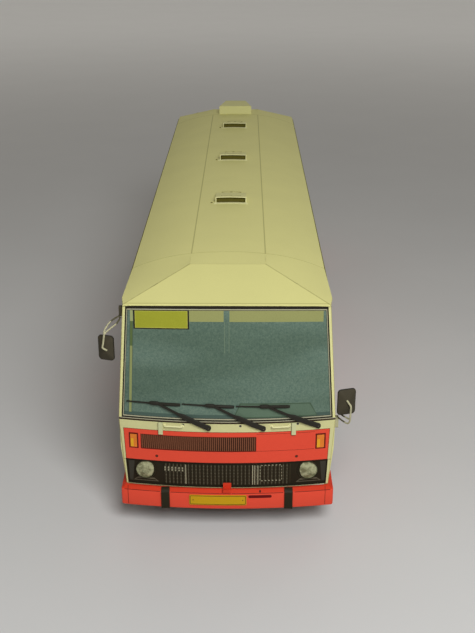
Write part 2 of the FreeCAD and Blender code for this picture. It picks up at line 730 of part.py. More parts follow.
for name, start in zip(("front", "middle", "rear"), vent_starts):
    body = new_body(f"vent_{name}")
    gap = size.glue_gap
    head = start + gap
    tail = start + size.vent_length - gap
    seat = seam_height + size.wall
    high = crown_height + size.vent_lift
    lid = [(head, high), (head, high - size.wall), (tail, seat), (tail, seat + size.wall)]
    cheek = [(head, high - size.wall), (head, seat), (tail, seat), (tail, seat + size.wall)]
    half = size.vent_half - gap
    add_pad(body, "YZ_Plane", [lid], -half, half * 2)
    for lift in (-half, half - size.wall):
        add_pad(body, "YZ_Plane", [cheek], lift, size.wall)
    keep(body, f"roof_vent_{name}")

# The raised box over the tail: wide in front, narrower and lower behind, its foot cut to the roof's form

intake = doc.addObject("Part::Wedge", "raised_box")
for prop, rule in (("Xmin", -size.intake_half), ("Xmax", size.intake_half), ("X2min", -size.intake_tail_half),
                   ("X2max", size.intake_tail_half), ("Ymin", 0), ("Ymax", size.intake_length),
                   ("Zmin", eave_height - crown_height), ("Zmax", size.intake_rise),
                   ("Z2min", eave_height - crown_height), ("Z2max", size.intake_tail_rise)):
    bind(intake, prop, rule)
bind(intake, "Placement.Base.y", raised_box)
bind(intake, "Placement.Base.z", crown_height)
seat = doc.addObject("Part::Feature", "raised_box_seat")
seat.Shape = tail_form.fuse(roof_solid(nose_arch, tail_arch + size.glue_gap * 2, 0))
bind(seat, "Placement.Base.z", size.glue_gap)
cut_from(intake, seat, "roof_intake")

# Front end: a bowed windscreen sheet over a bowed panel with its openings

belt_edge = (size.belt_half, from_front(size.belt_corner_setback), from_front(size.belt_centre_setback),
             belt_height)
screen_edge = (belt_edge[0], belt_edge[1], belt_edge[2], belt_height + size.glue_gap)
head_edge = (eave_half - size.eave_overhang, head_y, head_y - size.head_bow, flank_top)
sill_edge = (sill_half, from_front(size.sill_corner_setback), from_front(size.sill_centre_setback),
             size.sill_height)
front_deep = from_front(size.lip_setback * 2)


def screen_window(shrink):
    low = belt_height + size.screen_rail + shrink
    high = flank_top - size.header_rail - shrink
    low_half = flank_at(low) - size.post_width - shrink
    high_half = flank_at(high) - size.post_width - shrink
    return [(-low_half, low), (low_half, low), (high_half, high), (-high_half, high)]


front_skin = bowed_sheet(screen_edge, head_edge, size.wall)
stored("windscreen_frame", front_skin.cut(prism(screen_window(0), front_y, front_deep)))
stored("windscreen", front_skin.common(prism(screen_window(size.glue_gap), front_y, front_deep)))

grille_high = belt_height - size.grille_drop
grille_low = grille_high - size.grille_tall
grille_start = size.grille_inset - size.belt_half
grille_end = grille_start + size.grille_long
mask_low = size.sill_height + size.mask_rise
mask_high = mask_low + size.mask_tall
mask_half = sill_half - size.mask_inset
indicator_high = belt_height - size.indicator_drop
indicator_low = indicator_high - size.indicator_tall
indicator_edge = size.sill_tuck * (indicator_low - size.sill_height) / size.panel_tall
indicator_out = sill_half + indicator_edge - size.indicator_inset
headlamp_out = mask_half - size.headlamp_inset
headlamp_height = size.sill_height + size.headlamp_rise


def front_prism(low_x, high_x, low_z, high_z):
    return prism(box_outline(low_x, high_x, low_z, high_z), front_y, front_deep)


def indicator_prism(side, shrink):
    centre = indicator_out * side
    half = size.indicator_width / 2 - shrink
    return front_prism(centre - half, centre + half, indicator_low + shrink, indicator_high - shrink)


panel_skin = bowed_sheet(sill_edge, belt_edge, size.wall)
panel = panel_skin.cut(front_prism(grille_start, grille_end, grille_low, grille_high))
panel = panel.cut(front_prism(-mask_half, mask_half, mask_low, mask_high))
for side in (-1, 1):
    panel = panel.cut(indicator_prism(side, 0))
stored("front_panel", panel)

# Slatted grille and ribbed lamp band, each on a sheet glued behind its opening

lap = size.wall * 1.5  # how far those sheets reach past their openings
back_skin = panel_skin.copy()
back_skin.translate(spot(0, size.wall + size.glue_gap, 0))


def upright(middle, width, low, high, setback):
    # a bar that follows the panel's face and reaches into the sheet behind it
    ends = []
    for x in (float(middle - width / 2), float(middle + width / 2)):
        face = max(sheet_y(sill_edge, belt_edge, x, z) for z in (low, high))
        ends.append((x, face + float(setback)))
    deep = float(size.wall * 1.5 + size.glue_gap)
    (left, left_y), (right, right_y) = ends
    foot = float(low)
    corners = [V(left, left_y, foot), V(right, right_y, foot), V(right, right_y + deep, foot),
               V(left, left_y + deep, foot)]
    return Part.Face(closed(corners)).extrude(spot(0, 0, high - low))


grille = back_skin.common(front_prism(grille_start - lap, grille_end + lap, grille_low - lap,
                                      grille_high + lap))
slat_pitch = size.grille_long / size.slat_count
slats = []
for index in range(whole(size.slat_count)):
    middle = grille_start + slat_pitch * (index + 0.5)
    slats.append(upright(middle, slat_pitch * size.slat_share, grille_low + size.glue_gap,
                         grille_high - size.glue_gap, size.slat_setback))
stored("grille", grille.fuse(slats))

band = back_skin.common(front_prism(-mask_half - lap, mask_half + lap, mask_low - lap, mask_high + lap))
rib_end = headlamp_out - size.headlamp_radius - size.rib_end_gap
rib_steps = math.floor(float(rib_end) / float(size.rib_spacing))
ribs = []
for index in range(-rib_steps, rib_steps + 1):
    ribs.append(upright(size.rib_spacing * index, size.rib_width, mask_low + size.glue_gap,
                        mask_high - size.glue_gap, size.wall / 2))
band = band.fuse(ribs)


# Round pieces, made of flat facets about a line.
# A profile is pairs of a distance along the line and a radius, walked round the section.

def turned(profile, start, along, sides):
    across = V(0, 0, 1)
    third = along.cross(across)
    rings = []
    for reach, radius in profile:
        ring = []
        for index in range(sides):
            angle = 2 * math.pi * (index + 0.5) / sides
            around = across * math.cos(angle) + third * math.sin(angle)
            ring.append(start + along * float(reach) + around * float(radius))
        rings.append(ring)
    faces = []
    for here, there in zip(rings, rings[1:] + rings[:1]):
        for index in range(sides):
            following = (index + 1) % sides
            faces.append(Part.Face(closed([here[index], here[following], there[following], there[index]])))
    return solid_of(faces)


def plain_round(low, high, radius, start, along, sides):
    # the same, filled to its line
    corners = []
    for index in range(sides):
        angle = 2 * math.pi * (index + 0.5) / sides
        around = V(0, 0, 1) * math.cos(angle) + along.cross(V(0, 0, 1)) * math.sin(angle)
        corners.append(start + along * float(low) + around * float(radius))
    return Part.Face(closed(corners)).extrude(along * float(high - low))


forward = V(0, 1, 0)
for side, name in ((-1, "right"), (1, "left")):
    face_y = sheet_y(sill_edge, belt_edge, side * headlamp_out, headlamp_height) + float(size.wall)
    start = spot(side * headlamp_out, face_y, headlamp_height)
    bore = plain_round(-size.wall, size.headlamp_deep, size.headlamp_radius + size.glue_gap, start, forward,
                       lamp_sides)
    band = band.cut(bore)
    core = size.headlamp_glass / 2
    lens = plain_round(-size.headlamp_dome, size.headlamp_deep, core + size.glue_gap, start, forward,
                       lamp_sides)
    profile = [(-size.headlamp_proud, size.headlamp_radius - size.wall / 2),
               (size.headlamp_deep, size.headlamp_radius), (size.headlamp_deep, core),
               (-size.headlamp_dome, core), (-size.headlamp_dome / 3, size.headlamp_glass)]
    stored(f"headlamp_{name}", turned(profile, start, forward, lamp_sides).fuse(lens))
stored("lamp_band", band)

indicators = []
for side in (-1, 1):
    lamp = panel_skin.common(indicator_prism(side, size.glue_gap))
    lamp.translate(spot(0, -size.indicator_proud, 0))
    indicators.append(lamp)
stored("indicators", Part.makeCompound(indicators))

# Bumpers: an upright bowed face, ends that reach round the flanks, and a sloping top


def bumper_outline(sign, foot, height, shrink):
    # foot is the edge of the panel that the bumper is glued to
    half = bumper_half - shrink
    face = size.overall_length / 2 - shrink
    outer = bow_spots(half, (face - size.bumper_bow) * sign, face * sign, height)
    inner = bow_spots(sill_half + size.glue_gap, foot[1], foot[2], height)
    reach = (size.overall_length / 2 - size.bumper_reach) * sign
    ends = []
    for x in (half, sill_half + size.glue_gap):
        ends.append(spot(x, reach, height))
    far_ends = [V(-end.x, end.y, end.z) for end in reversed(ends)]
    return outer + ends + list(reversed(inner)) + far_ends


def bumper(sign, foot):
    top = size.sill_height - size.glue_gap
    outlines = [bumper_outline(sign, foot, bumper_low, 0), bumper_outline(sign, foot, bumper_fold, 0),
                bumper_outline(sign, foot, top, size.bumper_slope)]
    radius = float(size.bumper_corner)
    rounded = round_outline(-float(bumper_half), float(bumper_half), float(bumper_low),
                            float(size.sill_height) + radius * 2, radius)
    return faceted(outlines).common(prism(rounded, front_y - past, rear_y + past))


tail_belt_edge = (size.belt_half, from_rear(size.tail_belt_corner_setback),
                  from_rear(size.tail_belt_centre_setback), belt_height)
tail_sill_edge = (sill_half, from_rear(size.tail_sill_corner_setback),
                  from_rear(size.tail_sill_centre_setback), size.sill_height)
tail_head_y = from_rear(size.tail_lip_setback + size.head_clearance)
tail_head_edge = (head_edge[0], tail_head_y, tail_head_y + size.head_bow, flank_top)

front_bumper = bumper(-1, sill_edge)
slot_height = float(bumper_low + size.slot_rise)
slot_half = float(size.slot_tall / 2)
slot = round_outline(float(size.slot_start), float(size.slot_start + size.slot_long), slot_height - slot_half,
                     slot_height + slot_half, slot_half)
sag = size.bumper_bow * (size.slot_start + size.slot_long) * (size.slot_start + size.slot_long)
slot_floor = front_y + sag / bumper_half / bumper_half + size.slot_deep
stored("bumper_front", front_bumper.cut(prism(slot, front_y - size.wall, slot_floor)))
stored("bumper_rear", bumper(1, tail_sill_edge))

# Rear end: window, louvred engine hatch and lamp clusters in two bowed sheets

tail_upper = bowed_sheet(tail_belt_edge, tail_head_edge, -size.wall)
tail_lower = bowed_sheet(tail_sill_edge, tail_belt_edge, -size.wall)
rear_deep = from_rear(size.tail_lip_setback * 2)


def rear_prism(half, low_z, high_z, centre=0):
    return prism(box_outline(centre - half, centre + half, low_z, high_z), rear_deep, rear_y)


gap = size.glue_gap
rear_window_half = eave_half - size.rear_window_inset
rear_window_low = belt_height + size.rear_window_rise
rear_window_high = eave_height - size.rear_window_drop
stored("rear_upper_panel", tail_upper.cut(rear_prism(rear_window_half, rear_window_low, rear_window_high)))
stored("rear_window", tail_upper.common(rear_prism(rear_window_half - gap, rear_window_low + gap,
                                                   rear_window_high - gap)))
hatch_half = sill_half - size.hatch_inset
hatch_low = size.sill_height + size.hatch_rise
hatch_high = belt_height - size.hatch_drop
lower = tail_lower.cut(rear_prism(hatch_half, hatch_low, hatch_high))
hatch = tail_lower.common(rear_prism(hatch_half - gap, hatch_low + gap, hatch_high - gap))
louvre_pitch = (hatch_high - hatch_low - size.louvre_margin * 2) / size.louvre_count
louvres = []
for side in (-1, 1):
    for index in range(whole(size.louvre_count)):
        low = hatch_low + size.louvre_margin + louvre_pitch * index
        high = low + louvre_pitch / 2
        ends = [side * size.louvre_margin / 2, side * (hatch_half - size.louvre_margin)]
        ends.sort(key=float)
        corners = []
        for x, proud in ((ends[0], size.louvre_proud), (ends[1], size.louvre_proud),
                         (ends[1], -size.wall / 2), (ends[0], -size.wall / 2)):
            corners.append(spot(x, sheet_y(tail_sill_edge, tail_belt_edge, x, low) + float(proud), low))
        louvres.append(Part.Face(closed(corners)).extrude(spot(0, 0, high - low)))
stored("engine_hatch", hatch.fuse(louvres))
tail_lamps = []
tail_lamp_low = size.sill_height + size.tail_lamp_rise
tail_lamp_high = belt_height - size.tail_lamp_drop
for side in (-1, 1):
    centre = (sill_half - size.tail_lamp_inset) * side
    half = size.tail_lamp_width / 2
    lower = lower.cut(rear_prism(half, tail_lamp_low, tail_lamp_high, centre))
    lamp = tail_lower.common(rear_prism(half - gap, tail_lamp_low + gap, tail_lamp_high - gap, centre))
    lamp.translate(spot(0, size.tail_lamp_proud, 0))
    tail_lamps.append(lamp)
stored("rear_lower_panel", lower)
stored("tail_lamps", Part.makeCompound(tail_lamps))

# Floor of three boards with cut-outs for the wheels, and the wells over the wheels

floor_half = sill_half - size.wall - size.glue_gap
floor_inset = size.wall * 2 + size.glue_gap * 3
front_line = bow_spots(floor_half, sill_edge[1] + floor_inset, sill_edge[2] + floor_inset, floor_low)
rear_line = bow_spots(floor_half, tail_sill_edge[1] - floor_inset, tail_sill_edge[2] - floor_inset, floor_low)
floor = Part.Face(closed(front_line + list(reversed(rear_line)))).extrude(spot(0, 0, size.floor_thickness))
front_well = wheel_face - size.tyre_width - size.well_gap
rear_well = wheel_face - twin_width - size.well_gap


def arch_spots(radius, x, axle, low):
    # the round of an arch from its rear foot over to its front foot
    start = math.asin((float(low) - float(axle_height)) / float(radius))
    spots = []
    for index in range(arch_steps + 1):
        angle = start + (math.pi - start * 2) * index / arch_steps
        spots.append(V(float(x), float(axle) + float(radius) * math.cos(angle),
                       float(axle_height) + float(radius) * math.sin(angle)))
    return spots


def well(side, axle, inner):
    low = floor_top + size.glue_gap
    outer_line = arch_spots(well_radius + size.wall, inner * side, axle, low)
    inner_line = arch_spots(well_radius, inner * side, axle, low)
    band = Part.Face(closed(outer_line + list(reversed(inner_line))))
    end = Part.Face(closed(outer_line))
    across = (floor_half - inner) * side
    return band.extrude(spot(across, 0, 0)).fuse(end.extrude(spot(-size.wall * side, 0, 0)))


for axle, inner, name in ((front_axle, front_well, "front"), (rear_axle, rear_well, "rear")):
    for side, hand in ((-1, "right"), (1, "left")):
        edges = sorted([inner * side, (inner + past) * side], key=float)
        floor = floor.cut(block((edges[0], axle - well_radius, floor_low - size.wall),
                                (edges[1], axle + well_radius, floor_top + size.wall)))
        stored(f"well_{name}_{hand}", well(side, axle, inner))
for joint in (front_axle + well_radius, rear_axle - well_radius - size.glue_gap):
    floor = floor.cut(block((-past, joint, floor_low - size.wall),
                            (past, joint + size.glue_gap, floor_top + size.wall)))
stored("floor", floor)

# Wire axles in card blocks under the floor

for axle, name in ((front_axle, "front"), (rear_axle, "rear")):
    keep(cross_bar(f"axle_{name}", size.axle_radius, wheel_face - size.axle_inset, axle, axle_height),
         f"axle_{name}")
    bearer_half = rear_well - size.wall - size.bearer_gap
    body = new_body(f"bearer_{name}_block")
    low = axle_height - size.axle_radius - size.bearer_cover
    outline = box_outline(axle - size.bearer_depth / 2, axle + size.bearer_depth / 2, low,
                          floor_low - size.glue_gap)
    add_pad(body, "YZ_Plane", [outline], -bearer_half, bearer_half * 2)
    bore_radius = size.axle_radius + size.glue_gap / 2
    bore = cross_bar(f"bearer_{name}_bore", bore_radius, bearer_half + size.wall, axle, axle_height)
    cut_from(body, bore, f"bearer_{name}")

# Wheels: tyres with rounded shoulders on dished rims


def tyre_profile(inward):
    far = inward + size.tyre_width
    shoulder = size.tyre_shoulder
    bead = size.rim_radius + size.glue_gap * 2
    crown = size.tyre_radius
    return [(inward + shoulder / 2, bead), (inward, crown - shoulder * 3), (inward, crown - shoulder * 1.5),
            (inward + shoulder, crown), (far - shoulder, crown), (far, crown - shoulder * 1.5),
            (far, crown - shoulder * 3), (far - shoulder / 2, bead)]


def hub_profile(width):
    bore = size.axle_radius + size.running_gap
    rim = size.rim_radius
    lip = size.rim_lip
    front = size.wall
    return [(front * 2, bore), (front * 2, size.cap_radius), (size.dish_depth, size.cap_radius + lip / 2),
            (size.dish_depth + front, rim - lip * 2), (front * 1.5, rim - lip), (front, rim),
            (width - front, rim), (width - front, bore)]


for side, hand in ((-1, "right"), (1, "left")):
    inwards = V(-side, 0, 0)
    for axle, name, width in ((front_axle, "front", size.tyre_width), (rear_axle, "rear", twin_width)):
        start = spot(wheel_face * side, axle, axle_height)
        tyres = [turned(tyre_profile(as_rule(0)), start, inwards, tyre_sides)]
        if name == "rear":
            tyres.append(turned(tyre_profile(size.tyre_width + size.twin_gap), start, inwards, tyre_sides))
        stored(f"tyre_{name}_{hand}", Part.makeCompound(tyres))
        stored(f"hub_{name}_{hand}", turned(hub_profile(width), start, inwards, hub_sides))

# Trim on the bumper: straps, towing tab and number plates

straps = []
sag = size.bumper_bow * size.strap_out * size.strap_out / bumper_half / bumper_half
face = front_y + sag
top = size.sill_height - size.glue_gap
slope_top = face + size.bumper_slope
strap_outline = [(face - size.strap_proud, bumper_low - size.strap_proud),
                 (face - size.strap_proud, bumper_fold + size.strap_proud / 3),
                 (slope_top - size.strap_proud, top + size.strap_proud / 2),
                 (slope_top, top + size.strap_proud / 2),
                 (slope_top, bumper_fold), (face + size.strap_wrap, bumper_fold),
                 (face + size.strap_wrap, bumper_low - size.strap_proud)]
for side in (-1, 1):
    half = float(size.strap_width / 2)
    centre = side * float(size.strap_out)
    corners = [spot(centre - half, y, z) for y, z in strap_outline]
    strap = Part.Face(closed(corners)).extrude(V(half * 2, 0, 0))
    straps.append(strap.cut(front_bumper))
stored("bumper_straps", Part.makeCompound(straps))

plate_low = bumper_low + size.plate_rise
plate_high = plate_low + size.plate_tall
plate_back = size.glue_gap
plate_face = size.glue_gap + size.wall
stored("number_plate_front", block((-size.plate_right, front_y - plate_face, plate_low),
                                   (size.plate_left, front_y - plate_back, plate_high)))
stored("number_plate_rear", block((-size.plate_rear_half, rear_y + plate_back, plate_low),
                                  (size.plate_rear_half, rear_y + plate_face, plate_high)))

tab_foot = bumper_fold - size.tab_hang
tab_face = front_y - size.wall
tab_back = sill_edge[2] - gap - size.wall
tab_head = mask_low + size.wall * 2
tab_knee = size.sill_height + gap
tab_outline = [(tab_face, tab_foot), (front_y - gap, tab_foot), (front_y - gap, bumper_fold + size.wall / 2),
               (front_y + size.bumper_slope, tab_knee), (tab_back, tab_knee), (tab_back, tab_head),
               (tab_back - size.wall, tab_head), (tab_back - size.wall, size.sill_height + size.wall),
               (tab_face, bumper_fold + size.wall)]
tab = new_body("tab")
add_pad(tab, "YZ_Plane", [tab_outline], -size.tab_width / 2, size.tab_width)
keep(tab, "tow_tab")

# Small trim on the panel: hinge tabs and grab handles, set out from the middle wiper

wiper_names = ("right", "middle", "left")
wiper_room = size.belt_half * 2 - size.wiper_inset - size.pivot_inset - size.pivot_out
wiper_pitch = (wiper_room + size.blade_gap) / len(wiper_names)
blade_length = wiper_pitch - size.blade_gap
first_tip = size.wiper_inset - size.belt_half
middle_pivot = first_tip + wiper_pitch + blade_length + size.pivot_out


def panel_y(x, z):
    return sheet_y(sill_edge, belt_edge, x, z)


tabs = []
handles = []
for side in (-1, 1):
    centre = float(middle_pivot + size.hinge_tab_gap) * side
    half = float(size.hinge_tab_width) / 2
    high_z = float(belt_height - size.hinge_tab_drop)
    low_z = high_z - float(size.hinge_tab_tall)
    face_y = min(panel_y(centre + half, low_z), panel_y(centre - half, low_z)) - float(gap)
    tabs.append(block((centre - half, face_y - float(size.wall), low_z), (centre + half, face_y, high_z)))
    centre = float(middle_pivot + size.handle_gap) * side
    half = float(size.handle_width) / 2
    thick = float(size.handle_bar)
    bar_low = float(belt_height - size.handle_drop) - thick / 2
    bar_y = panel_y(centre, bar_low) - float(size.handle_stand_off)
    bar = block((centre - half, bar_y, bar_low), (centre + half, bar_y + thick, bar_low + thick))
    for foot_x in (centre - half, centre + half - thick):
        foot_y = min(panel_y(x, bar_low) for x in (foot_x, foot_x + thick)) - float(gap)
        bar = bar.fuse(block((foot_x, bar_y, bar_low), (foot_x + thick, foot_y, bar_low + thick)))
    handles.append(bar.removeSplitter())
stored("hinge_tabs", Part.makeCompound(tabs))
stored("grab_handles", Part.makeCompound(handles))

# Wipers: a blade, and a tapered arm that is bent over the crease, on a round pivot


def front_at(x, z):
    # the outer face of windscreen or panel
    if z > float(belt_height):
        return sheet_y(screen_edge, head_edge, x, z)
    return panel_y(x, z)


def flat_bar(start, end, start_width, end_width, thickness):
    # a strip between two points of the front view, with its back at the points' own depth
    along = V(end.x - start.x, 0, end.z - start.z).normalize()
    up = V(-along.z, 0, along.x)
    corners = [start + up * (start_width / 2), end + up * (end_width / 2), end - up * (end_width / 2),
               start - up * (start_width / 2)]
    return Part.Face(closed(corners)).extrude(V(0, -thickness, 0))


thick = float(size.wiper_thickness)
lift = float(size.wiper_lift)
wide = float(size.blade_width)
clip_wide = float(size.clip_width)
clip_reach = V(float(size.clip_half), 0, 0)
tip_z = float(belt_height + size.blade_rise)
heel_z = tip_z - float(size.blade_fall)
crease_z = float(belt_height)
pivot_z = float(belt_height - size.pivot_drop)
share = float(size.arm_hold)
for index, name in enumerate(wiper_names):
    tip_x = float(first_tip + wiper_pitch * index)
    heel_x = tip_x + float(blade_length)
    pivot_x = heel_x + float(size.pivot_out)
    hold_x = tip_x + (heel_x - tip_x) * share
    hold_z = tip_z + (heel_z - tip_z) * share
    bend_share = (hold_z - crease_z) / (hold_z - pivot_z)
    bend_x = hold_x + (pivot_x - hold_x) * bend_share
    bend_wide = wide + (float(size.arm_width) - wide) * bend_share
    tip, heel = [V(x, front_at(x, z) - lift, z) for x, z in ((tip_x, tip_z), (heel_x, heel_z))]
    blade = flat_bar(tip, heel, wide, wide, thick)
    hold = tip + (heel - tip) * share - V(0, thick / 2, 0)
    bend = V(bend_x, front_at(bend_x, crease_z) - lift - thick / 2, crease_z)
    around = (-float(size.pivot_radius), float(size.pivot_radius))
    pivot = V(pivot_x, min(front_at(pivot_x + reach, pivot_z - reach) for reach in around), pivot_z)
    foot = pivot - V(0, lift + thick / 2, 0)
    arm = [flat_bar(hold, bend, wide, bend_wide, thick),
           flat_bar(bend, foot, bend_wide, float(size.arm_width), thick)]
    clip = flat_bar(hold - clip_reach, hold + clip_reach, clip_wide, clip_wide, thick)
    knob = plain_round(-lift - thick * 2, -gap, size.pivot_radius, pivot, forward, lamp_sides // 2)
    stored(f"wiper_{name}", blade.fuse(arm + [clip, knob]).removeSplitter())

# Mirrors: housings that peak towards the front, on doubled wire arms that end at the peak


def ring_at(spots, index, radius):
    # the wire's section at one of its points, square to the bend there
    ahead = spots[min(index + 1, len(spots) - 1)]
    behind = spots[max(index - 1, 0)]
    along = (ahead - behind).normalize()
    across = along.cross(forward).normalize()
    third = along.cross(across)
    ring = []
    for step in range(wire_sides):
        angle = 2 * math.pi * (step + 0.5) / wire_sides
        ring.append(spots[index] + across * (radius * math.cos(angle)) + third * (radius * math.sin(angle)))
    return ring


def wire(spots, radius):
    return faceted([ring_at(spots, index, radius) for index in range(len(spots))])


def housing(middle):
    # middle is the centre of the mirror's glass
    wide = float(size.mirror_width) / 2
    tall = float(size.mirror_tall) / 2
    deep = float(size.mirror_deep)
    rim_y = middle.y - float(size.mirror_rim)
    peak = float(size.mirror_peak)
    corner = float(size.mirror_corner)
    rims = []
    for y, half, up, radius in ((middle.y, wide, tall, corner), (rim_y, wide, tall, corner),
                                (middle.y - deep, peak, float(size.mirror_peak_tall), peak / 2)):
        outline = round_outline(middle.x - half, middle.x + half, middle.z - up, middle.z + up, radius)
        rims.append([V(x, y, z) for x, z in outline])
    return faceted(rims)


strand_bows = ((0.25, 0.8), (0.5, 1.0), (0.75, 0.7))  # shares of the way from root to bend, and of the spread
splice = 0.3  # share of the stem along which all the wires run together
arm_radius = float(size.wire_radius)
mirror_x = float(size.belt_half + size.mirror_out)
mirror_y = float(from_front(size.mirror_setback))
bracket_y = float(from_front(size.bracket_setback))
peak_y = mirror_y - float(size.mirror_deep) - arm_radius - float(gap)
stub = float(size.bracket_width)
tall = float(size.bracket_tall)
for side, name, middle_z in ((-1, "right", float(eave_height - size.right_mirror_drop)),
                             (1, "left", float(belt_height + size.left_mirror_rise))):
    middle = V(mirror_x * side, mirror_y, middle_z)
    stored(f"mirror_{name}", housing(middle))
    peak = V(middle.x, peak_y, middle_z)
    if side < 0:
        # from a bracket under the eaves forward and down
        foot_z = float(eave_height - size.right_bracket_drop)
        skin = float(flank_at(as_rule(foot_z - tall / 2)))
        bend = V(middle.x, peak_y, middle_z + float(size.mirror_tall / 2 + size.arm_rise))
    else:
        # from a bracket under the crease down and forward, then up
        foot_z = float(belt_height - size.left_bracket_drop)
        skin = float(size.belt_half)
        bend = V(middle.x + stub / 2, peak_y, middle_z - float(size.mirror_tall / 2 + size.arm_fall))
    low = min(side * (skin + float(gap)), side * (skin + stub))
    high = max(side * (skin + float(gap)), side * (skin + stub))
    base = block((low, bracket_y - arm_radius * 2, foot_z - tall / 2), (high, bracket_y + arm_radius * 2,
                                                                        foot_z + tall / 2))
    root = V(side * (skin + stub / 2), bracket_y, foot_z)
    swell = (bend - root).cross(forward).normalize() * float(size.arm_spread)
    strands = []
    for lean in (-1, 1):
        spots = [root]
        for share, bow in strand_bows:
            spots.append(root + (bend - root) * share + swell * (bow * lean))
        spots += [bend, bend + (peak - bend) * splice]
        strands.append(wire(spots, arm_radius))
    stem = wire([bend, peak + (peak - bend).normalize() * arm_radius], arm_radius)
    stored(f"mirror_arm_{name}", base.fuse(strands + [stem]).removeSplitter())

doc.recompute()

# Nothing is written unless every object and every shape is sound

for item in doc.Objects:
    state = " ".join(item.State)
    if "Invalid" in state or "Error" in state:
        raise RuntimeError(f"{item.Label} did not recompute: {state}")
for item in nodes:
    if item.Shape.isNull() or not item.Shape.isValid():
        raise RuntimeError(f"{item.Label} has no valid shape")
for item in nodes:
    item.Shape.exportStep(f"parts/{item.Label}.step")
print(len(nodes), "nodes written")
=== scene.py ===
import bmesh
import bpy
import json
import math
from mathutils import Matrix, Vector

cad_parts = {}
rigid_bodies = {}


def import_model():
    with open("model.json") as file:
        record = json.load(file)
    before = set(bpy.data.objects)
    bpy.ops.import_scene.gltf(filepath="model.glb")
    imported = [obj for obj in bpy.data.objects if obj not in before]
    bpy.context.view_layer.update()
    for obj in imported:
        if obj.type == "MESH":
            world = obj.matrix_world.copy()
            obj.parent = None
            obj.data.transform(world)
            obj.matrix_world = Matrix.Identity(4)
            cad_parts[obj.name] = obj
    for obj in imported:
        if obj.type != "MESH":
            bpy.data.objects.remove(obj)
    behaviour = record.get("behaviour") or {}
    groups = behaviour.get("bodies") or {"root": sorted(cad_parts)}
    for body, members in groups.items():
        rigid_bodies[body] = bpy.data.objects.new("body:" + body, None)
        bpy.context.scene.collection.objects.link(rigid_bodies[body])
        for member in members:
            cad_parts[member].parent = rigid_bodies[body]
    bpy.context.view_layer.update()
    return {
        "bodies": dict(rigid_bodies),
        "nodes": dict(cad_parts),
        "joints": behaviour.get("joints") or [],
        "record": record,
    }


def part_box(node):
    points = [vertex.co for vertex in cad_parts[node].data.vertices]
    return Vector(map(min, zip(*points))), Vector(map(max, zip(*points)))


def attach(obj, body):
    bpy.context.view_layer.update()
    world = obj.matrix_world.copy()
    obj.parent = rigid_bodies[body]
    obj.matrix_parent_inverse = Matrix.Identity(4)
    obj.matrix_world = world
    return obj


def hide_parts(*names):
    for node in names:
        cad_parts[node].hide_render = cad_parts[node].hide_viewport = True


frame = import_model()
nodes = frame["nodes"]
mm = 0.001
sameSpot = 0.0005  # mm, points nearer than this are one
print("frame loaded")


def low(node, axis):  # a CAD node's lowest place along an axis, in mm
    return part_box(node)[0][axis] / mm


def high(node, axis):
    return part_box(node)[1][axis] / mm


def grown(edges, reach):  # left, right, foot and top, moved outwards
    left, right, foot, top = edges
    return left - reach, right + reach, foot - reach, top + reach


def nodeBox(node, margin=0.0):
    return grown((low(node, 0), high(node, 0), low(node, 2), high(node, 2)), margin)


shell = {  # the card shell, in mm
    "card": 0.4,
    "gap": 0.05,
    "front": low("bumper_front", 1),
    "rear": high("bumper_rear", 1),
    "footHalf": 27.7,
    "hipHalf": 28.9,
    "hip": 24.0,
    "creaseHalf": high("front_panel", 0),
    "headHalf": 27.0,
    "eaveHalf": high("roof_middle", 0),
    "skirt": low("side_left", 2),
    "foot": low("front_panel", 2),
    "crease": high("front_panel", 2),
    "head": high("windscreen_frame", 2),
}
card, gap, footZ, hipZ, creaseZ, headZ, frontY, rearY, eaveHalf = [
    shell[key] for key in ("card", "gap", "foot", "hip", "crease", "head", "front", "rear", "eaveHalf")]
eave = headZ + card + gap


# Materials

def feed(tree, socket, value):  # a link or a plain value
    if isinstance(value, bpy.types.NodeSocket):
        tree.links.new(value, socket)
    else:
        socket.default_value = value


def place(tree, kind, inputs=None, **settings):  # one shader or geometry node, wired or set
    item = tree.nodes.new(kind)
    for key, value in settings.items():
        setattr(item, key, value)
    for key, value in (inputs or {}).items():
        feed(tree, item.inputs[key], value)
    return item


def sums(tree, operation, first, second=0.0, third=0.0):
    return place(tree, "ShaderNodeMath", {0: first, 1: second, 2: third}, operation=operation).outputs[0]


def vectorSums(tree, operation, first, second=(0.0, 0.0, 0.0)):
    return place(tree, "ShaderNodeVectorMath", {0: first, 1: second}, operation=operation)


def newGroup(name, inputs, outputs, kind="ShaderNodeTree"):
    tree = bpy.data.node_groups.new(name, kind)
    for way, sockets in (("INPUT", inputs), ("OUTPUT", outputs)):
        for label, form, *start in sockets:
            socket = tree.interface.new_socket(label, in_out=way, socket_type="NodeSocket" + form)
            if start:
                socket.default_value = start[0]
    return tree, tree.nodes.new("NodeGroupInput").outputs, tree.nodes.new("NodeGroupOutput").inputs


def mixed(tree, share, first, second):
    return place(tree, "ShaderNodeMix", {0: share, 6: first, 7: second}, data_type="RGBA").outputs[2]


def patches(tree, here, scale, detail, rough, start, end):  # noise drawn out to between 0 and 1
    noise = place(
        tree, "ShaderNodeTexNoise", {"Vector": here, "Scale": scale, "Detail": detail, "Roughness": rough})
    return place(tree, "ShaderNodeMapRange", {0: noise.outputs["Fac"], 1: start, 2: end}).outputs[0]


def tone(red, green, blue):  # a printed colour as written in 0 to 255
    shares = [level / 255 for level in (red, green, blue)]
    return tuple(s / 12.92 if s <= 0.04045 else ((s + 0.055) / 1.055) ** 2.4 for s in shares) + (1.0,)


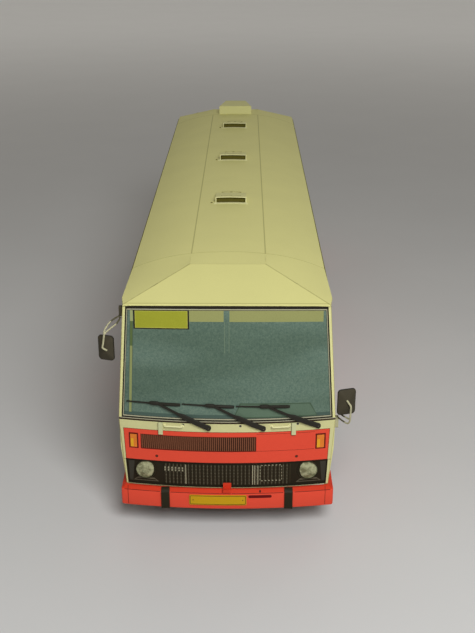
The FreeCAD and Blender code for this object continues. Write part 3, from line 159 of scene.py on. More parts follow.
def cardFinishGroup():
    # ink on card: fine print grain, soft clouds in the ink, paper fibres and an uneven sheen
    tree, given, out = newGroup("cardFinish", [
        ("Place", "Vector"), ("Ink", "Color"), ("Grain", "Float", 0.08), ("Grain Size", "Float", 0.25),
        ("Cloud", "Float", 0.05), ("Cloud Size", "Float", 12.0), ("Roughness", "Float", 0.5),
    ], [("Color", "Color"), ("Roughness", "Float"), ("Height", "Float")])
    fine = place(tree, "ShaderNodeTexNoise", {"Vector": given["Place"], "Detail": 3.0, "Roughness": 0.65,
                                              "Scale": sums(tree, "DIVIDE", 1.0, given["Grain Size"])})
    soft = place(tree, "ShaderNodeTexNoise", {"Vector": given["Place"], "Detail": 2.0,
                                              "Scale": sums(tree, "DIVIDE", 1.0, given["Cloud Size"])})
    fibre = place(tree, "ShaderNodeTexNoise", {
        "Vector": vectorSums(tree, "MULTIPLY", given["Place"], (0.6, 0.6, 0.6)).outputs[0],
        "Scale": 5.0, "Detail": 4.0, "Distortion": 1.4})
    fineShift = sums(tree, "MULTIPLY", sums(tree, "SUBTRACT", fine.outputs["Fac"], 0.5), given["Grain"])
    softShift = sums(tree, "MULTIPLY", sums(tree, "SUBTRACT", soft.outputs["Fac"], 0.5), given["Cloud"])
    level = sums(tree, "MULTIPLY_ADD", sums(tree, "ADD", fineShift, softShift), 2.0, 1.0)
    scaled = place(tree, "ShaderNodeVectorMath", {0: given["Ink"], "Scale": level}, operation="SCALE")
    tree.links.new(scaled.outputs[0], out["Color"])
    rough = sums(
        tree, "MULTIPLY_ADD", sums(tree, "SUBTRACT", fibre.outputs["Fac"], 0.5), 0.16, given["Roughness"])
    tree.links.new(rough, out["Roughness"])
    relief = sums(tree, "MULTIPLY_ADD", fine.outputs["Fac"], 0.35, fibre.outputs["Fac"])
    tree.links.new(relief, out["Height"])
    return tree


def lineMaskGroup():
    # 1 along a straight line between two points, fading over its soft edge
    tree, given, out = newGroup(
        "lineMask", [("Place", "Vector"), ("Start", "Vector"), ("End", "Vector"), ("Width", "Float", 0.2),
        ("Soft", "Float", 0.1)], [("Mask", "Float")])
    along = vectorSums(tree, "SUBTRACT", given["End"], given["Start"]).outputs[0]
    reach = vectorSums(tree, "SUBTRACT", given["Place"], given["Start"]).outputs[0]
    top = vectorSums(tree, "DOT_PRODUCT", reach, along).outputs["Value"]
    bottom = vectorSums(tree, "DOT_PRODUCT", along, along).outputs["Value"]
    share = place(tree, "ShaderNodeClamp", {"Value": sums(tree, "DIVIDE", top, bottom)}).outputs[0]
    foot = place(tree, "ShaderNodeVectorMath", {0: along, "Scale": share}, operation="SCALE").outputs[0]
    away = vectorSums(tree, "LENGTH", vectorSums(tree, "SUBTRACT", reach, foot).outputs[0]).outputs["Value"]
    half = sums(tree, "MULTIPLY", given["Width"], 0.5)
    fade = sums(tree, "DIVIDE", sums(tree, "SUBTRACT", away, half), given["Soft"])
    mask = sums(tree, "SUBTRACT", 1.0, place(tree, "ShaderNodeClamp", {"Value": fade}).outputs[0])
    tree.links.new(mask, out["Mask"])
    return tree


cardFinish = cardFinishGroup()
lineMask = lineMaskGroup()


def millimetres(tree):
    coordinates = place(tree, "ShaderNodeTexCoord")
    return place(tree, "ShaderNodeMapping", {"Vector": coordinates.outputs["Object"],
                                             "Scale": (1 / mm, 1 / mm, 1 / mm)}).outputs[0]


def cardInk(name, red, green, blue, grain=0.07, roughness=0.55, cloud=0.04, cloudSize=14.0, grainSize=0.25,
            fibre=0.05, lines=(), recolour=None, metallic=0.0, coat=0.0, gloss=0.1):
    # lines are (start, end, width, soft, strength) in mm
    made = bpy.data.materials.new(name)
    made.use_nodes = True
    tree = made.node_tree
    shader = tree.nodes["Principled BSDF"]
    here = millimetres(tree)
    base = recolour(tree, here, tone(red, green, blue)) if recolour else tone(red, green, blue)
    for start, end, width, soft, strength in lines:
        mask = place(
            tree, "ShaderNodeGroup", {"Start": start, "End": end, "Width": width, "Soft": soft,
            "Place": here}, node_tree=lineMask)
        base = mixed(tree, sums(tree, "MULTIPLY", mask.outputs[0], strength), base, seamInk)
    finish = place(tree, "ShaderNodeGroup", {
        "Ink": base, "Grain": grain, "Grain Size": grainSize, "Cloud": cloud, "Cloud Size": cloudSize,
        "Roughness": roughness, "Place": here}, node_tree=cardFinish).outputs
    bump = place(
        tree, "ShaderNodeBump", {"Height": finish["Height"], "Distance": fibre * mm, "Strength": 1.0})
    for key, value in (
            ("Base Color", finish["Color"]), ("Roughness", finish["Roughness"]),
            ("Normal", bump.outputs[0]), ("Specular IOR Level", gloss), ("Metallic", metallic),
            ("Coat Weight", coat)):
        feed(tree, shader.inputs[key], value)
    return made


def printedGlass(tree, here, ink):
    # window print: teal and green specks, and broad soft bands of painted sky reflection
    specks = patches(tree, here, 1.8, 5.0, 0.85, 0.36, 0.64)
    tilted = place(tree, "ShaderNodeMapping", {"Vector": here, "Rotation": (0.0, -0.7, 0.0),
                                               "Scale": (0.03, 0.03, 0.11)}).outputs[0]
    skyReflectionBands = patches(tree, tilted, 1.0, 1.5, 0.5, 0.35, 0.65)
    dark = mixed(tree, specks, tone(67, 88, 77), tone(94, 113, 97))
    return mixed(tree, skyReflectionBands, dark, mixed(tree, specks, tone(83, 106, 96), tone(111, 130, 115)))


def lampPrint(tree, here, ink):
    # lamp print: pale and dull patches, as light on a ribbed glass
    return mixed(tree, patches(tree, here, 0.75, 3.0, 0.6, 0.4, 0.6), tone(108, 106, 74), tone(166, 166, 130))


roofSeam = {"half": 10.4, "height": 69.6, "crown": 0.5, "bulge": 0.7, "width": 0.16, "soft": 0.16}
noseArch = low("roof_middle", 1) - 2.0
tailArch = high("roof_middle", 1)
noseLip = low("roof_nose", 1)
tailLip = high("roof_tail", 1)
noseHip = noseLip + 18.5
tailHip = tailLip - 4.5
cornerCut = {"across": 0.35, "back": 4.8, "flare": 0.4}
seamLines = []
for side in (-1, 1):
    hipX = side * roofSeam["half"]
    lipX = side * (eaveHalf - cornerCut["across"])
    for start, end, strength in (
            ((hipX, noseArch, roofSeam["height"]), (hipX, tailArch, roofSeam["height"]), 0.52),
            ((hipX, noseHip, roofSeam["height"]), (lipX, noseLip, eave), 0.5),
            ((hipX, tailHip, roofSeam["height"]), (lipX, tailLip, eave), 0.5)):
        seamLines.append((start, end, roofSeam["width"], roofSeam["soft"], strength))
for lip in (noseLip + 0.55, tailLip - 0.55):
    seamLines.append(((-26.4, lip, eave + 0.12), (26.4, lip, eave + 0.12), 0.12, 0.16, 0.45))
for hipY in (noseHip, tailHip):
    seamLines.append(((-10.4, hipY, roofSeam["height"]), (10.4, hipY, roofSeam["height"]), 0.1, 0.14, 0.25))


def archShade(tree, here, ink):
    # the joints across the roof, where its middle meets the two caps
    away = vectorSums(tree, "MULTIPLY", here, (0.0, 1.0, 0.0)).outputs[0]
    y = place(tree, "ShaderNodeSeparateXYZ", {0: away}).outputs[1]
    for arch in (noseArch, tailArch):
        off = sums(tree, "ABSOLUTE", sums(tree, "SUBTRACT", y, arch))
        mask = place(tree, "ShaderNodeMapRange", {0: off, 1: 0.05, 2: 0.22, 3: 0.62, 4: 0.0}).outputs[0]
        ink = mixed(tree, mask, ink, tone(128, 122, 62))
    return ink


seamInk = tone(126, 120, 60)
inkBook = {  # material, red, green, blue, grain, roughness, cloud, cloud size, grain size
    "roof": cardInk("cardRoof", 216, 212, 142, 0.05, 0.5, lines=seamLines, recolour=archShade),
    "cream": cardInk("cardCream", 214, 211, 149, 0.06),
    # a darker copy of the cream for the front panel: painted shade
    "beltCream": cardInk("cardCreamPaintedShade", 202, 199, 145, 0.06),
    "creamPale": cardInk("cardCreamPale", 228, 225, 172, 0.05),
    "postEdge": cardInk("inkPostEdge", 162, 154, 96, 0.08),
    "tab": cardInk("cardTab", 196, 198, 152, 0.08),
    "ventPrint": cardInk("inkVentPrint", 152, 144, 82, 0.12),
    "red": cardInk("cardRed", 221, 76, 55, 0.07, 0.5, 0.05),
    "redDeep": cardInk("cardRedDeep", 206, 58, 34, 0.07, 0.5),
    "redLine": cardInk("inkRedLine", 104, 30, 22),
    "maroon": cardInk("inkMaroon", 96, 14, 16),
    "glass": cardInk("printedGlass", 96, 114, 99, 0.1, 0.42, 0.1, 22.0, 0.16, recolour=printedGlass,
                     gloss=0.2),
    "valance": cardInk("inkValance", 146, 148, 94, 0.16, 0.55, 0.08, 14.0, 0.2),
    "pole": cardInk("inkPole", 136, 142, 92, 0.14, 0.55, 0.1, 14.0, 0.2),
    "poleTop": cardInk("inkPoleTop", 150, 158, 108, 0.14, 0.55, 0.04, 14.0, 0.2),
    # painted shade on the pole's upper part
    "poleDark": cardInk("poleInShadeColour", 88, 104, 62, 0.16, 0.55, 0.1, 14.0, 0.2),
    "dash": cardInk("inkDash", 90, 110, 92, 0.16, 0.55, 0.12, 14.0, 0.4),
    "dashLine": cardInk("inkDashLine", 70, 88, 70, 0.16),
    "polePale": cardInk("inkPolePale", 116, 132, 108, 0.12),
    # dark print for seats and outlines, and painted shade at the windscreen glass's foot
    "panelDark": cardInk("inkPanelDarkAndShade", 72, 90, 82, 0.16, 0.55, 0.1, 14.0, 0.2),
    "rubber": cardInk("inkRubber", 38, 34, 26, 0.12, 0.6),
    "trim": cardInk("inkTrim", 168, 166, 140, 0.08),
    "black": cardInk("cardBlack", 38, 32, 21, 0.2, 0.6, 0.12),
    "mesh": cardInk("inkMesh", 50, 43, 29, 0.2, 0.6, 0.1),
    "bar": cardInk("inkBar", 92, 86, 70, 0.16),
    "barPale": cardInk("inkBarPale", 158, 152, 126, 0.14),
    "slat": cardInk("inkSlat", 126, 78, 55, 0.16, 0.6),
    "brownLine": cardInk("inkBrownLine", 70, 52, 38, 0.12),
    "slatBack": cardInk("inkSlatBack", 40, 20, 15, 0.12),
    "orange": cardInk("inkOrange", 216, 122, 46, 0.1, 0.4, 0.18, 2.4),
    # painted highlight on the indicator lenses
    "orangePale": cardInk("paintedOrangeHighlight", 222, 164, 40, 0.1, 0.4),
    "yellow": cardInk("cardYellow", 194, 152, 22, 0.09, 0.5, 0.06),
    "sign": cardInk("cardSign", 150, 152, 47, 0.1, 0.5, 0.08, 5.0),
    "signPale": cardInk("cardSignPale", 180, 178, 84, 0.08, 0.5),
    "lampGlass": cardInk("inkLampGlass", 140, 136, 102, 0.18, 0.35, 0.1, 1.6, 0.4, coat=0.2, gloss=0.3,
                         recolour=lampPrint),
    "recess": cardInk("inkRecess", 58, 55, 47, 0.2),
    "lampRim": cardInk("inkLampRim", 56, 52, 38, 0.1, 0.4),
    "strap": cardInk("cardStrap", 40, 36, 23, 0.16, 0.45),
    "wiper": cardInk("paintWiper", 44, 42, 36, 0.14, 0.5),
    "mirrorBack": cardInk("cardMirror", 66, 61, 48, 0.16, 0.55, 0.12, 3.0),
    "mirrorRim": cardInk("inkMirrorRim", 38, 35, 28, 0.12),
    "mirrorGlass": cardInk("foilMirror", 176, 178, 176, 0.04, 0.16, metallic=1.0, fibre=0.01, gloss=0.5),
    "wire": cardInk("paintWire", 176, 172, 140, 0.2, 0.55, 0.3, 2.2, 0.4),
    # dark paint on the wiper pins, and painted shade at the roots of the mirror wires
    "wireDark": cardInk("paintWireDarkAndShade", 86, 82, 62, 0.2, 0.5),
    "steel": cardInk("wireSteel", 150, 148, 142, 0.08, 0.32, metallic=0.85, gloss=0.5),
    "board": cardInk("boardGrey", 142, 139, 130, 0.12, 0.85, 0.08, 14.0, 0.4, 0.12),
    "boardDark": cardInk("boardDark", 62, 58, 52, 0.14, 0.85, fibre=0.1),
    "tyre": cardInk("cardTyre", 44, 43, 41, 0.2, 0.8, 0.1, fibre=0.12),
    "tread": cardInk("cardTread", 58, 56, 52, 0.22, 0.9, fibre=0.14),
    "rim": cardInk("cardRim", 168, 164, 148, 0.1, 0.5, 0.08),
    "rimDark": cardInk("inkRimDark", 56, 54, 48, 0.1),
    # dark slits, gutters and drip lines, and painted shade inside the roof vents
    "slit": cardInk("cardSlitDarkAndShade", 92, 86, 34, 0.12, 0.8),
    "tailRed": cardInk("inkTailRed", 176, 26, 22, 0.1, 0.35, 0.12, 2.0),
    "tailWhite": cardInk("inkTailWhite", 214, 210, 196, 0.1, 0.35),
}
print("materials made:", len(inkBook))


# Parts are (points, faces, inks), in mm; a piece is one or more of them

def rounded(lowA, highA, lowB, highB, radius, steps=6):
    centres = ((highA - radius, lowB + radius, -90), (highA - radius, highB - radius, 0),
               (lowA + radius, highB - radius, 90), (lowA + radius, lowB + radius, 180))
    spots = []
    for a, b, start in centres:
        for index in range(steps + 1):
            angle = math.radians(start + 90 * index / steps)
            spots.append((a + radius * math.cos(angle), b + radius * math.sin(angle)))
    return spots


def boxed(lowA, highA, lowB, highB):
    return [(lowA, lowB), (highA, lowB), (highA, highB), (lowA, highB)]


def disc(a, b, radius, steps=16):
    turns = [2 * math.pi * index / steps for index in range(steps)]
    return [(a + radius * math.cos(turn), b + radius * math.sin(turn)) for turn in turns]


def shrunk(outline, inset):
    middleA = sum(a for a, b in outline) / len(outline)
    middleB = sum(b for a, b in outline) / len(outline)
    return [(a - (inset if a > middleA else -inset), b - (inset if b > middleB else -inset))
            for a, b in outline]


def within(outline, a, b):
    hit = False
    for (fromA, fromB), (toA, toB) in zip(outline, outline[1:] + outline[:1]):
        if (fromB > b) != (toB > b) and a < (toA - fromA) * (b - fromB) / (toB - fromB) + fromA:
            hit = not hit
    return hit


def cutAlong(flat, outline, margin=0.001):
    # splits the faces that an outline's sides run through
    for (fromA, fromB), (toA, toB) in zip(outline, outline[1:] + outline[:1]):
        lowA, highA = min(fromA, toA) - margin, max(fromA, toA) + margin
        lowB, highB = min(fromB, toB) - margin, max(fromB, toB) + margin
        faces = []
        for face in flat.faces:
            acrosses = [vert.co.x for vert in face.verts]
            ups = [vert.co.y for vert in face.verts]
            if max(acrosses) > lowA and min(acrosses) < highA and max(ups) > lowB and min(ups) < highB:
                faces.append(face)
        edges = {edge for face in faces for edge in face.edges}
        verts = {vert for face in faces for vert in face.verts}
        bmesh.ops.bisect_plane(flat, geom=faces + list(edges) + list(verts), dist=sameSpot,
                               plane_co=(fromA, fromB, 0), plane_no=(toB - fromB, fromA - toA, 0))


def thickened(skin, names, outer, inner):
    # a sheet's two faces, and the walls round its edges
    skin.verts.index_update()
    total = len(skin.verts)
    points = [outer(vert.co) for vert in skin.verts] + [inner(vert.co) for vert in skin.verts]
    faces, inks = [], []
    for face in skin.faces:
        around = [vert.index for vert in face.verts]
        faces += [around, [index + total for index in reversed(around)]]
        inks += [names[face.material_index]] * 2
    for edge in skin.edges:
        if len(edge.link_faces) == 1:
            first, second = [vert.index for vert in edge.verts]
            faces.append([first, second, second + total, first + total])
            inks.append(names[edge.link_faces[0].material_index])
    skin.free()
    return points, faces, inks


def printedSheet(outline, baseInk, areas, onto, front, back, stepA=1.5, stepB=8.0):
    # a sheet of card with its printed areas, laid onto a surface; an area with no ink is an opening
    flat = bmesh.new()
    flat.faces.new([flat.verts.new((a, b, 0)) for a, b in outline])
    names = [baseInk]
    for ink, spots in areas:
        cutAlong(flat, spots)
        if ink not in names:
            names.append(ink)
        lowA, highA = min(a for a, b in spots), max(a for a, b in spots)
        lowB, highB = min(b for a, b in spots), max(b for a, b in spots)
        for face in flat.faces:
            middle = face.calc_center_median()
            if lowA < middle.x < highA and lowB < middle.y < highB and within(spots, middle.x, middle.y):
                face.material_index = names.index(ink)
    if None in names:
        openings = [face for face in flat.faces if names[face.material_index] is None]
        bmesh.ops.delete(flat, geom=openings, context="FACES")
    for axis, step in ((0, stepA), (1, stepB)):
        reach = [vert.co[axis] for vert in flat.verts]
        count = max(1, math.ceil((max(reach) - min(reach)) / step))
        for index in range(1, count):
            spot = [0, 0, 0]
            normal = [0, 0, 0]
            spot[axis] = min(reach) + (max(reach) - min(reach)) * index / count
            normal[axis] = 1
            bmesh.ops.bisect_plane(flat, geom=flat.faces[:] + flat.edges[:] + flat.verts[:], dist=sameSpot,
                                   plane_co=spot, plane_no=normal)
    return thickened(
        flat, names, lambda spot: onto(spot.x, spot.y, front), lambda spot: onto(spot.x, spot.y, back))


def lofted(rings, ink, capped=True):
    # faces between rings of as many points, each ring closed
    count = len(rings[0])
    points = [point for ring in rings for point in ring]
    faces = []
    for level in range(len(rings) - 1):
        for index in range(count):
            following = (index + 1) % count
            faces.append([level * count + index, level * count + following, (level + 1) * count + following,
                          (level + 1) * count + index])
    if capped:
        faces.append(list(reversed(range(count))))
        faces.append([(len(rings) - 1) * count + index for index in range(count)])
    return points, faces, [ink] * len(faces)


def extruded(spots, reach, ink):
    shift = Vector(reach)
    return lofted([[Vector(spot) for spot in spots], [Vector(spot) + shift for spot in spots]], ink)


def slab(x, wide, line, ink):  # an outline in (y, z), drawn out across the bus
    return extruded([(x, y, z) for y, z in line], (wide, 0, 0), ink)


def turned(profile, centre, axis, sides, ink, inks=None):
    # a closed profile of (distance along the axis, radius) spun round it
    across = axis.orthogonal().normalized()
    third = axis.cross(across)
    rings = []
    for reach, radius in profile + profile[:1]:
        ring = []
        for index in range(sides):
            angle = 2 * math.pi * index / sides
            ring.append(centre + axis * reach + (across * math.cos(angle) + third * math.sin(angle)) * radius)
        rings.append(ring)
    points, faces, names = lofted(rings, ink, capped=False)
    if inks:
        names = [name for name in inks for index in range(sides)]
    return points, faces, names


def tube(route, radii, sides, ink):
    # a round rod along a route, its thickness given at each point
    rings = []
    across = None
    for index, spot in enumerate(route):
        along = (route[min(index + 1, len(route) - 1)] - route[max(index - 1, 0)]).normalized()
        if across is None:
            across = along.orthogonal().normalized()
        across = (across - along * across.dot(along)).normalized()
        third = along.cross(across)
        turns = [2 * math.pi * turn / sides for turn in range(sides)]
        around = [across * math.cos(turn) + third * math.sin(turn) for turn in turns]
        rings.append([spot + out * radii[index] for out in around])
    return lofted(rings, ink)


def curved(spots, count):
    # a smooth line through a few points
    route = []
    for index in range(len(spots) - 1):
        before = spots[max(index - 1, 0)]
        start, end = spots[index], spots[index + 1]
        after = spots[min(index + 2, len(spots) - 1)]
        for step in range(count):
            t = step / count
            square, cube = before * 2 - start * 5 + end * 4 - after, start * 3 - before - end * 3 + after
            route.append(((start * 2) + (end - before) * t + square * t * t + cube * t * t * t) * 0.5)
    return route + [spots[-1]]


def added(name, data):
    made = bpy.data.objects.new(name, data)
    bpy.context.scene.collection.objects.link(made)
    return made


def makePiece(name, parts, replaced=(), smooth=35, bevel=None, body="bus_body"):
    # bevel is (width in mm, segments, least angle in degrees)
    points, faces, inks = [], [], []
    for partPoints, partFaces, partInks in parts:
        faces += [[index + len(points) for index in face] for face in partFaces]
        points += [Vector(point) * mm for point in partPoints]
        inks += partInks
    names = sorted(set(inks))
    mesh = bpy.data.meshes.new(name)
    mesh.from_pydata(points, [], faces)
    for ink in names:
        mesh.materials.append(inkBook[ink])
    for polygon, ink in zip(mesh.polygons, inks):
        polygon.material_index = names.index(ink)
    shape = bmesh.new()
    shape.from_mesh(mesh)
    bmesh.ops.remove_doubles(shape, verts=shape.verts, dist=sameSpot * mm)
    bmesh.ops.recalc_face_normals(shape, faces=shape.faces)
    shape.to_mesh(mesh)
    shape.free()
    mesh.shade_smooth()
    mesh.set_sharp_from_angle(angle=math.radians(smooth))
    piece = added(name, mesh)
    if bevel:
        edge = piece.modifiers.new("cardEdge", "BEVEL")
        edge.width = bevel[0] * mm
        edge.segments = bevel[1]
        edge.limit_method = "ANGLE"
        edge.angle_limit = math.radians(bevel[2])
    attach(piece, body)
    if replaced:
        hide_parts(*replaced)


# Surfaces of the shell: each gives the place of a spot on it, with a lift outwards

def sheetBetween(lowEdge, highEdge, outward):
    # an edge is its half width, its places at the corner and the middle, and its height
    def onto(x, z, lift=0.0):
        share = (z - lowEdge[3]) / (highEdge[3] - lowEdge[3])
        half = lowEdge[0] + (highEdge[0] - lowEdge[0]) * share
        bow = (x / half) ** 2
        ends = [edge[2] + (edge[1] - edge[2]) * bow for edge in (lowEdge, highEdge)]
        return Vector((x, ends[0] + (ends[1] - ends[0]) * share + outward * lift, z))
    return onto


frontFoot = (shell["footHalf"], frontY + 4.2, frontY + 1.7, footZ)
frontCrease = (shell["creaseHalf"], frontY + 4.7, frontY + 1.9, creaseZ)
frontHead = (shell["headHalf"], frontY + 7.3, frontY + 7.1, headZ)
rearFoot = (shell["footHalf"], rearY - 5.0, rearY - 2.6, footZ)
rearCrease = (shell["creaseHalf"], rearY - 5.6, rearY - 3.4, creaseZ)
rearHead = (shell["headHalf"], rearY - 8.6, rearY - 8.4, headZ)
onPanel = sheetBetween(frontFoot, frontCrease, -1)
onScreen = sheetBetween(frontCrease, frontHead, -1)
onRearLower = sheetBetween(rearFoot, rearCrease, 1)
onRearUpper = sheetBetween(rearCrease, rearHead, 1)


sheetLevels = ((footZ, shell["footHalf"]), (creaseZ, shell["creaseHalf"]), (headZ, shell["headHalf"]))
flankLevels = (sheetLevels[0], (hipZ, shell["hipHalf"])) + sheetLevels[1:]


def halfAt(z, levels):  # the half width at a height, between the levels round it
    for (lowZ, lowHalf), (highZ, highHalf) in zip(levels, levels[1:]):
        if z <= highZ:
            break
    return lowHalf + (highHalf - lowHalf) * ((z - lowZ) / (highZ - lowZ))


def trapezoid(inset, lowZ, highZ):
    foot, top = halfAt(lowZ, sheetLevels) - inset, halfAt(highZ, sheetLevels) - inset
    return [(-foot, lowZ), (foot, lowZ), (top, highZ), (-top, highZ)]


def flankHalf(z):
    return halfAt(max(z, footZ), flankLevels)


def onFlank(side):
    def onto(y, z, lift=0.0):
        return Vector((side * (flankHalf(z) + lift), y, z))
    return onto


# Geometry Nodes: a row of bars that follows a bowed and leaning sheet

def barRowTree():
    tree, given, out = newGroup(
        "barRow", [("Geometry", "Geometry"), ("Count", "Int"), ("Start", "Vector"), ("Step", "Vector"),
        ("Bar Size", "Vector"), ("Bow", "Float"), ("Lean", "Float"), ("Material", "Material")],
        [("Geometry", "Geometry")], "GeometryNodeTree")
    line = place(tree, "GeometryNodeMeshLine", {"Count": given["Count"], "Start Location": given["Start"],
                                                "Offset": given["Step"]}, mode="OFFSET")
    here = place(tree, "GeometryNodeInputPosition").outputs[0]
    x = place(tree, "ShaderNodeSeparateXYZ", {0: here}).outputs[0]
    bowed = sums(tree, "MULTIPLY", sums(tree, "MULTIPLY", x, x), given["Bow"])
    shift = place(tree, "ShaderNodeCombineXYZ", {1: bowed}).outputs[0]
    laid = place(tree, "GeometryNodeSetPosition", {"Geometry": line.outputs[0], "Offset": shift})
    slope = sums(tree, "ARCTANGENT", sums(tree, "MULTIPLY", sums(tree, "MULTIPLY", x, given["Bow"]), 2.0))
    turn = place(tree, "ShaderNodeCombineXYZ", {0: given["Lean"], 2: slope}).outputs[0]
    bar = place(tree, "GeometryNodeMeshCube", {"Size": given["Bar Size"]})
    bars = place(tree, "GeometryNodeInstanceOnPoints", {"Points": laid.outputs[0], "Instance": bar.outputs[0],
                                                       "Rotation": turn})
    real = place(tree, "GeometryNodeRealizeInstances", {0: bars.outputs[0]})
    inked = place(
        tree, "GeometryNodeSetMaterial", {"Geometry": real.outputs[0], "Material": given["Material"]})
    tree.links.new(inked.outputs[0], out[0])
    return tree


def wheelNutTree():
    # nuts on a circle round the wheel's axis, which runs along X
    tree, given, out = newGroup(
        "wheelNuts", [("Geometry", "Geometry"), ("Count", "Int"), ("Circle", "Float"),
        ("Nut Radius", "Float"), ("Nut Height", "Float"), ("Middle", "Vector"), ("Material", "Material")],
        [("Geometry", "Geometry")], "GeometryNodeTree")
    ring = place(tree, "GeometryNodeMeshCircle", {"Vertices": given["Count"], "Radius": given["Circle"]})
    nut = place(tree, "GeometryNodeMeshCylinder", {"Vertices": 6, "Radius": given["Nut Radius"],
                                                  "Depth": given["Nut Height"]})
    nuts = place(
        tree, "GeometryNodeInstanceOnPoints", {"Points": ring.outputs[0], "Instance": nut.outputs[0]})
    real = place(tree, "GeometryNodeRealizeInstances", {0: nuts.outputs[0]})
    stood = place(tree, "GeometryNodeTransform", {"Geometry": real.outputs[0], "Translation": given["Middle"],
                                                 "Rotation": (0.0, math.pi / 2, 0.0)})
    inked = place(
        tree, "GeometryNodeSetMaterial", {"Geometry": stood.outputs[0], "Material": given["Material"]})
    tree.links.new(inked.outputs[0], out[0])
    return tree


barRow = barRowTree()
wheelNuts = wheelNutTree()


def grownPart(tree, values, ink):
    # runs a tree once and returns what it makes as a part
    seed = added("seed", bpy.data.meshes.new("seed"))
    grow = seed.modifiers.new("grow", "NODES")
    grow.node_group = tree
    for socket in tree.interface.items_tree:
        if socket.in_out == "INPUT" and socket.name in values:
            grow[socket.identifier] = values[socket.name]
        elif socket.in_out == "INPUT" and socket.name == "Material":
            grow[socket.identifier] = inkBook[ink]
    mesh = bpy.data.meshes.new_from_object(seed.evaluated_get(bpy.context.evaluated_depsgraph_get()))
    points = [vert.co / mm for vert in mesh.vertices]
    faces = [list(polygon.vertices) for polygon in mesh.polygons]
    seed.modifiers.clear()
    bpy.data.objects.remove(seed)
    bpy.data.meshes.remove(mesh)
    return points, faces, [ink] * len(faces)


def barsOn(count, firstX, stepX, z, size, lift, ink, lean=0.0):
    # bars on the front panel: the tree bows them by the panel's own curve at their height
    centre, reach = onPanel(0.0, z, lift), 25.0
    bow = (onPanel(reach, z, lift).y - centre.y) / reach ** 2 / mm
    return grownPart(barRow, {"Count": count, "Start": (firstX * mm, centre.y * mm, z * mm),
                              "Step": (stepX * mm, 0.0, 0.0), "Bar Size": tuple(value * mm for value in size),
                              "Bow": bow, "Lean": lean}, ink)


def outlined(areas, lineInk, fillInk, outline, width):
    # a printed line round a form, which keeps its own colour inside
    areas += [(lineInk, outline), (fillInk, shrunk(outline, width))]


def opened(areas, ink, rim, *edges):
    # an opening with a printed rim
    areas += [(ink, boxed(*grown(edges, rim))), (None, boxed(*edges))]


# Windscreen: one printed sheet with its cream posts, rubber, trim, valance, pole and blank sign

screenPrint = {
    # the rubber reaches the sheet's top edge, where it also stands for painted shadow under the roof's lip
    "rubber": (0.74, 33.62, 64.7), "trim": (1.12, 34.06, 63.86), "trimLine": (1.3, 34.36, 63.6),
    "glass": (1.42, 34.48, 63.46),  # side inset, lower and upper edge
    "shade": (1.42, 34.48, 35.45), "lightLine": (33.42, 33.62), "darkLine": (33.3, 33.42),
    "valanceFoot": 60.52, "valanceRuns": ((-25.1, -24.35), (-9.76, -0.82), (0.69, 25.05)),
    "sign": (-24.28, -9.76, 58.46), "signInks": (("rubber", 0.0, 0.0, 0.0), ("signPale", 0.42, 0.294, 0.12),
                                                  ("sign", 0.54, 0.414, 0.24)),  # insets: side, foot, top
    "poleTop": (-25.08, -24.42), "poleFoot": (-26.2, -25.52), "poleLow": 35.3, "poleShade": (53.8, 60.52),
    "centrePole": 0.64, "centrePoleFoot": 52.2,
    "dash": [(3.4, 38.68), (22.2, 38.36), (24.1, 34.56), (1.7, 34.56)],
}


def makeWindscreen():
    glassTop, wide = screenPrint["glass"][2], shell["creaseHalf"]
    foot, poleLow = screenPrint["valanceFoot"], screenPrint["poleLow"]
    areas = [("postEdge", trapezoid(0.0, creaseZ, headZ)), ("cream", trapezoid(0.12, creaseZ, headZ)),
             ("brownLine", boxed(-wide, wide, *screenPrint["darkLine"])),
             ("trim", boxed(-wide, wide, *screenPrint["lightLine"]))]
    # the outer rubber is also painted shadow along its top, under the roof's lip
    areas += [(ink, trapezoid(*screenPrint[key])) for ink, key in
              (("rubber", "rubber"), ("trim", "trim"), ("rubber", "trimLine"), ("glass", "glass"))]
    areas += [("valance", boxed(start, end, foot, glassTop)) for start, end in screenPrint["valanceRuns"]]
    # painted shade: the glass is darker along its foot
    areas.append(("panelDark", trapezoid(*screenPrint["shade"])))
    outlined(areas, "dashLine", "dash", screenPrint["dash"], 0.3)
    edges = list(zip(screenPrint["poleFoot"], screenPrint["poleTop"]))
    # the pole's upper part, just under the valance, is painted shade
    for ink, inset, start, end in (("panelDark", 0.16, poleLow, foot), ("pole", 0.0, poleLow, foot),
                                   ("poleDark", 0.0, *screenPrint["poleShade"])):
        (left, leftTop), (right, rightTop) = [[lower + (upper - lower) * (z - poleLow) / (foot - poleLow)
                                               for z in (start, end)] for lower, upper in edges]
        areas.append((ink, [(left - inset, start), (right + inset, start), (rightTop + inset, end),
                            (leftTop - inset, end)]))
    areas.append(("poleTop", boxed(*screenPrint["poleTop"], foot, glassTop)))
    for x in (-screenPrint["centrePole"], screenPrint["centrePole"] - 0.1):
        areas.append(("polePale", boxed(x, x + 0.1, screenPrint["centrePoleFoot"], foot)))
    left, right, signFoot = screenPrint["sign"]
    areas += [(ink, boxed(left + side, right - side, signFoot + lower, glassTop - upper))
              for ink, side, lower, upper in screenPrint["signInks"]]
    sheet = printedSheet(trapezoid(0.0, creaseZ + gap, headZ), "cream", areas, onScreen, 0.0, -card, 1.2, 6.0)
    makePiece("windscreenSheet", [sheet], ("windscreen", "windscreen_frame"))


makeWindscreen()
print("windscreen done")

# Front panel: cream edge, red field with its openings, trim lines, latches and washers

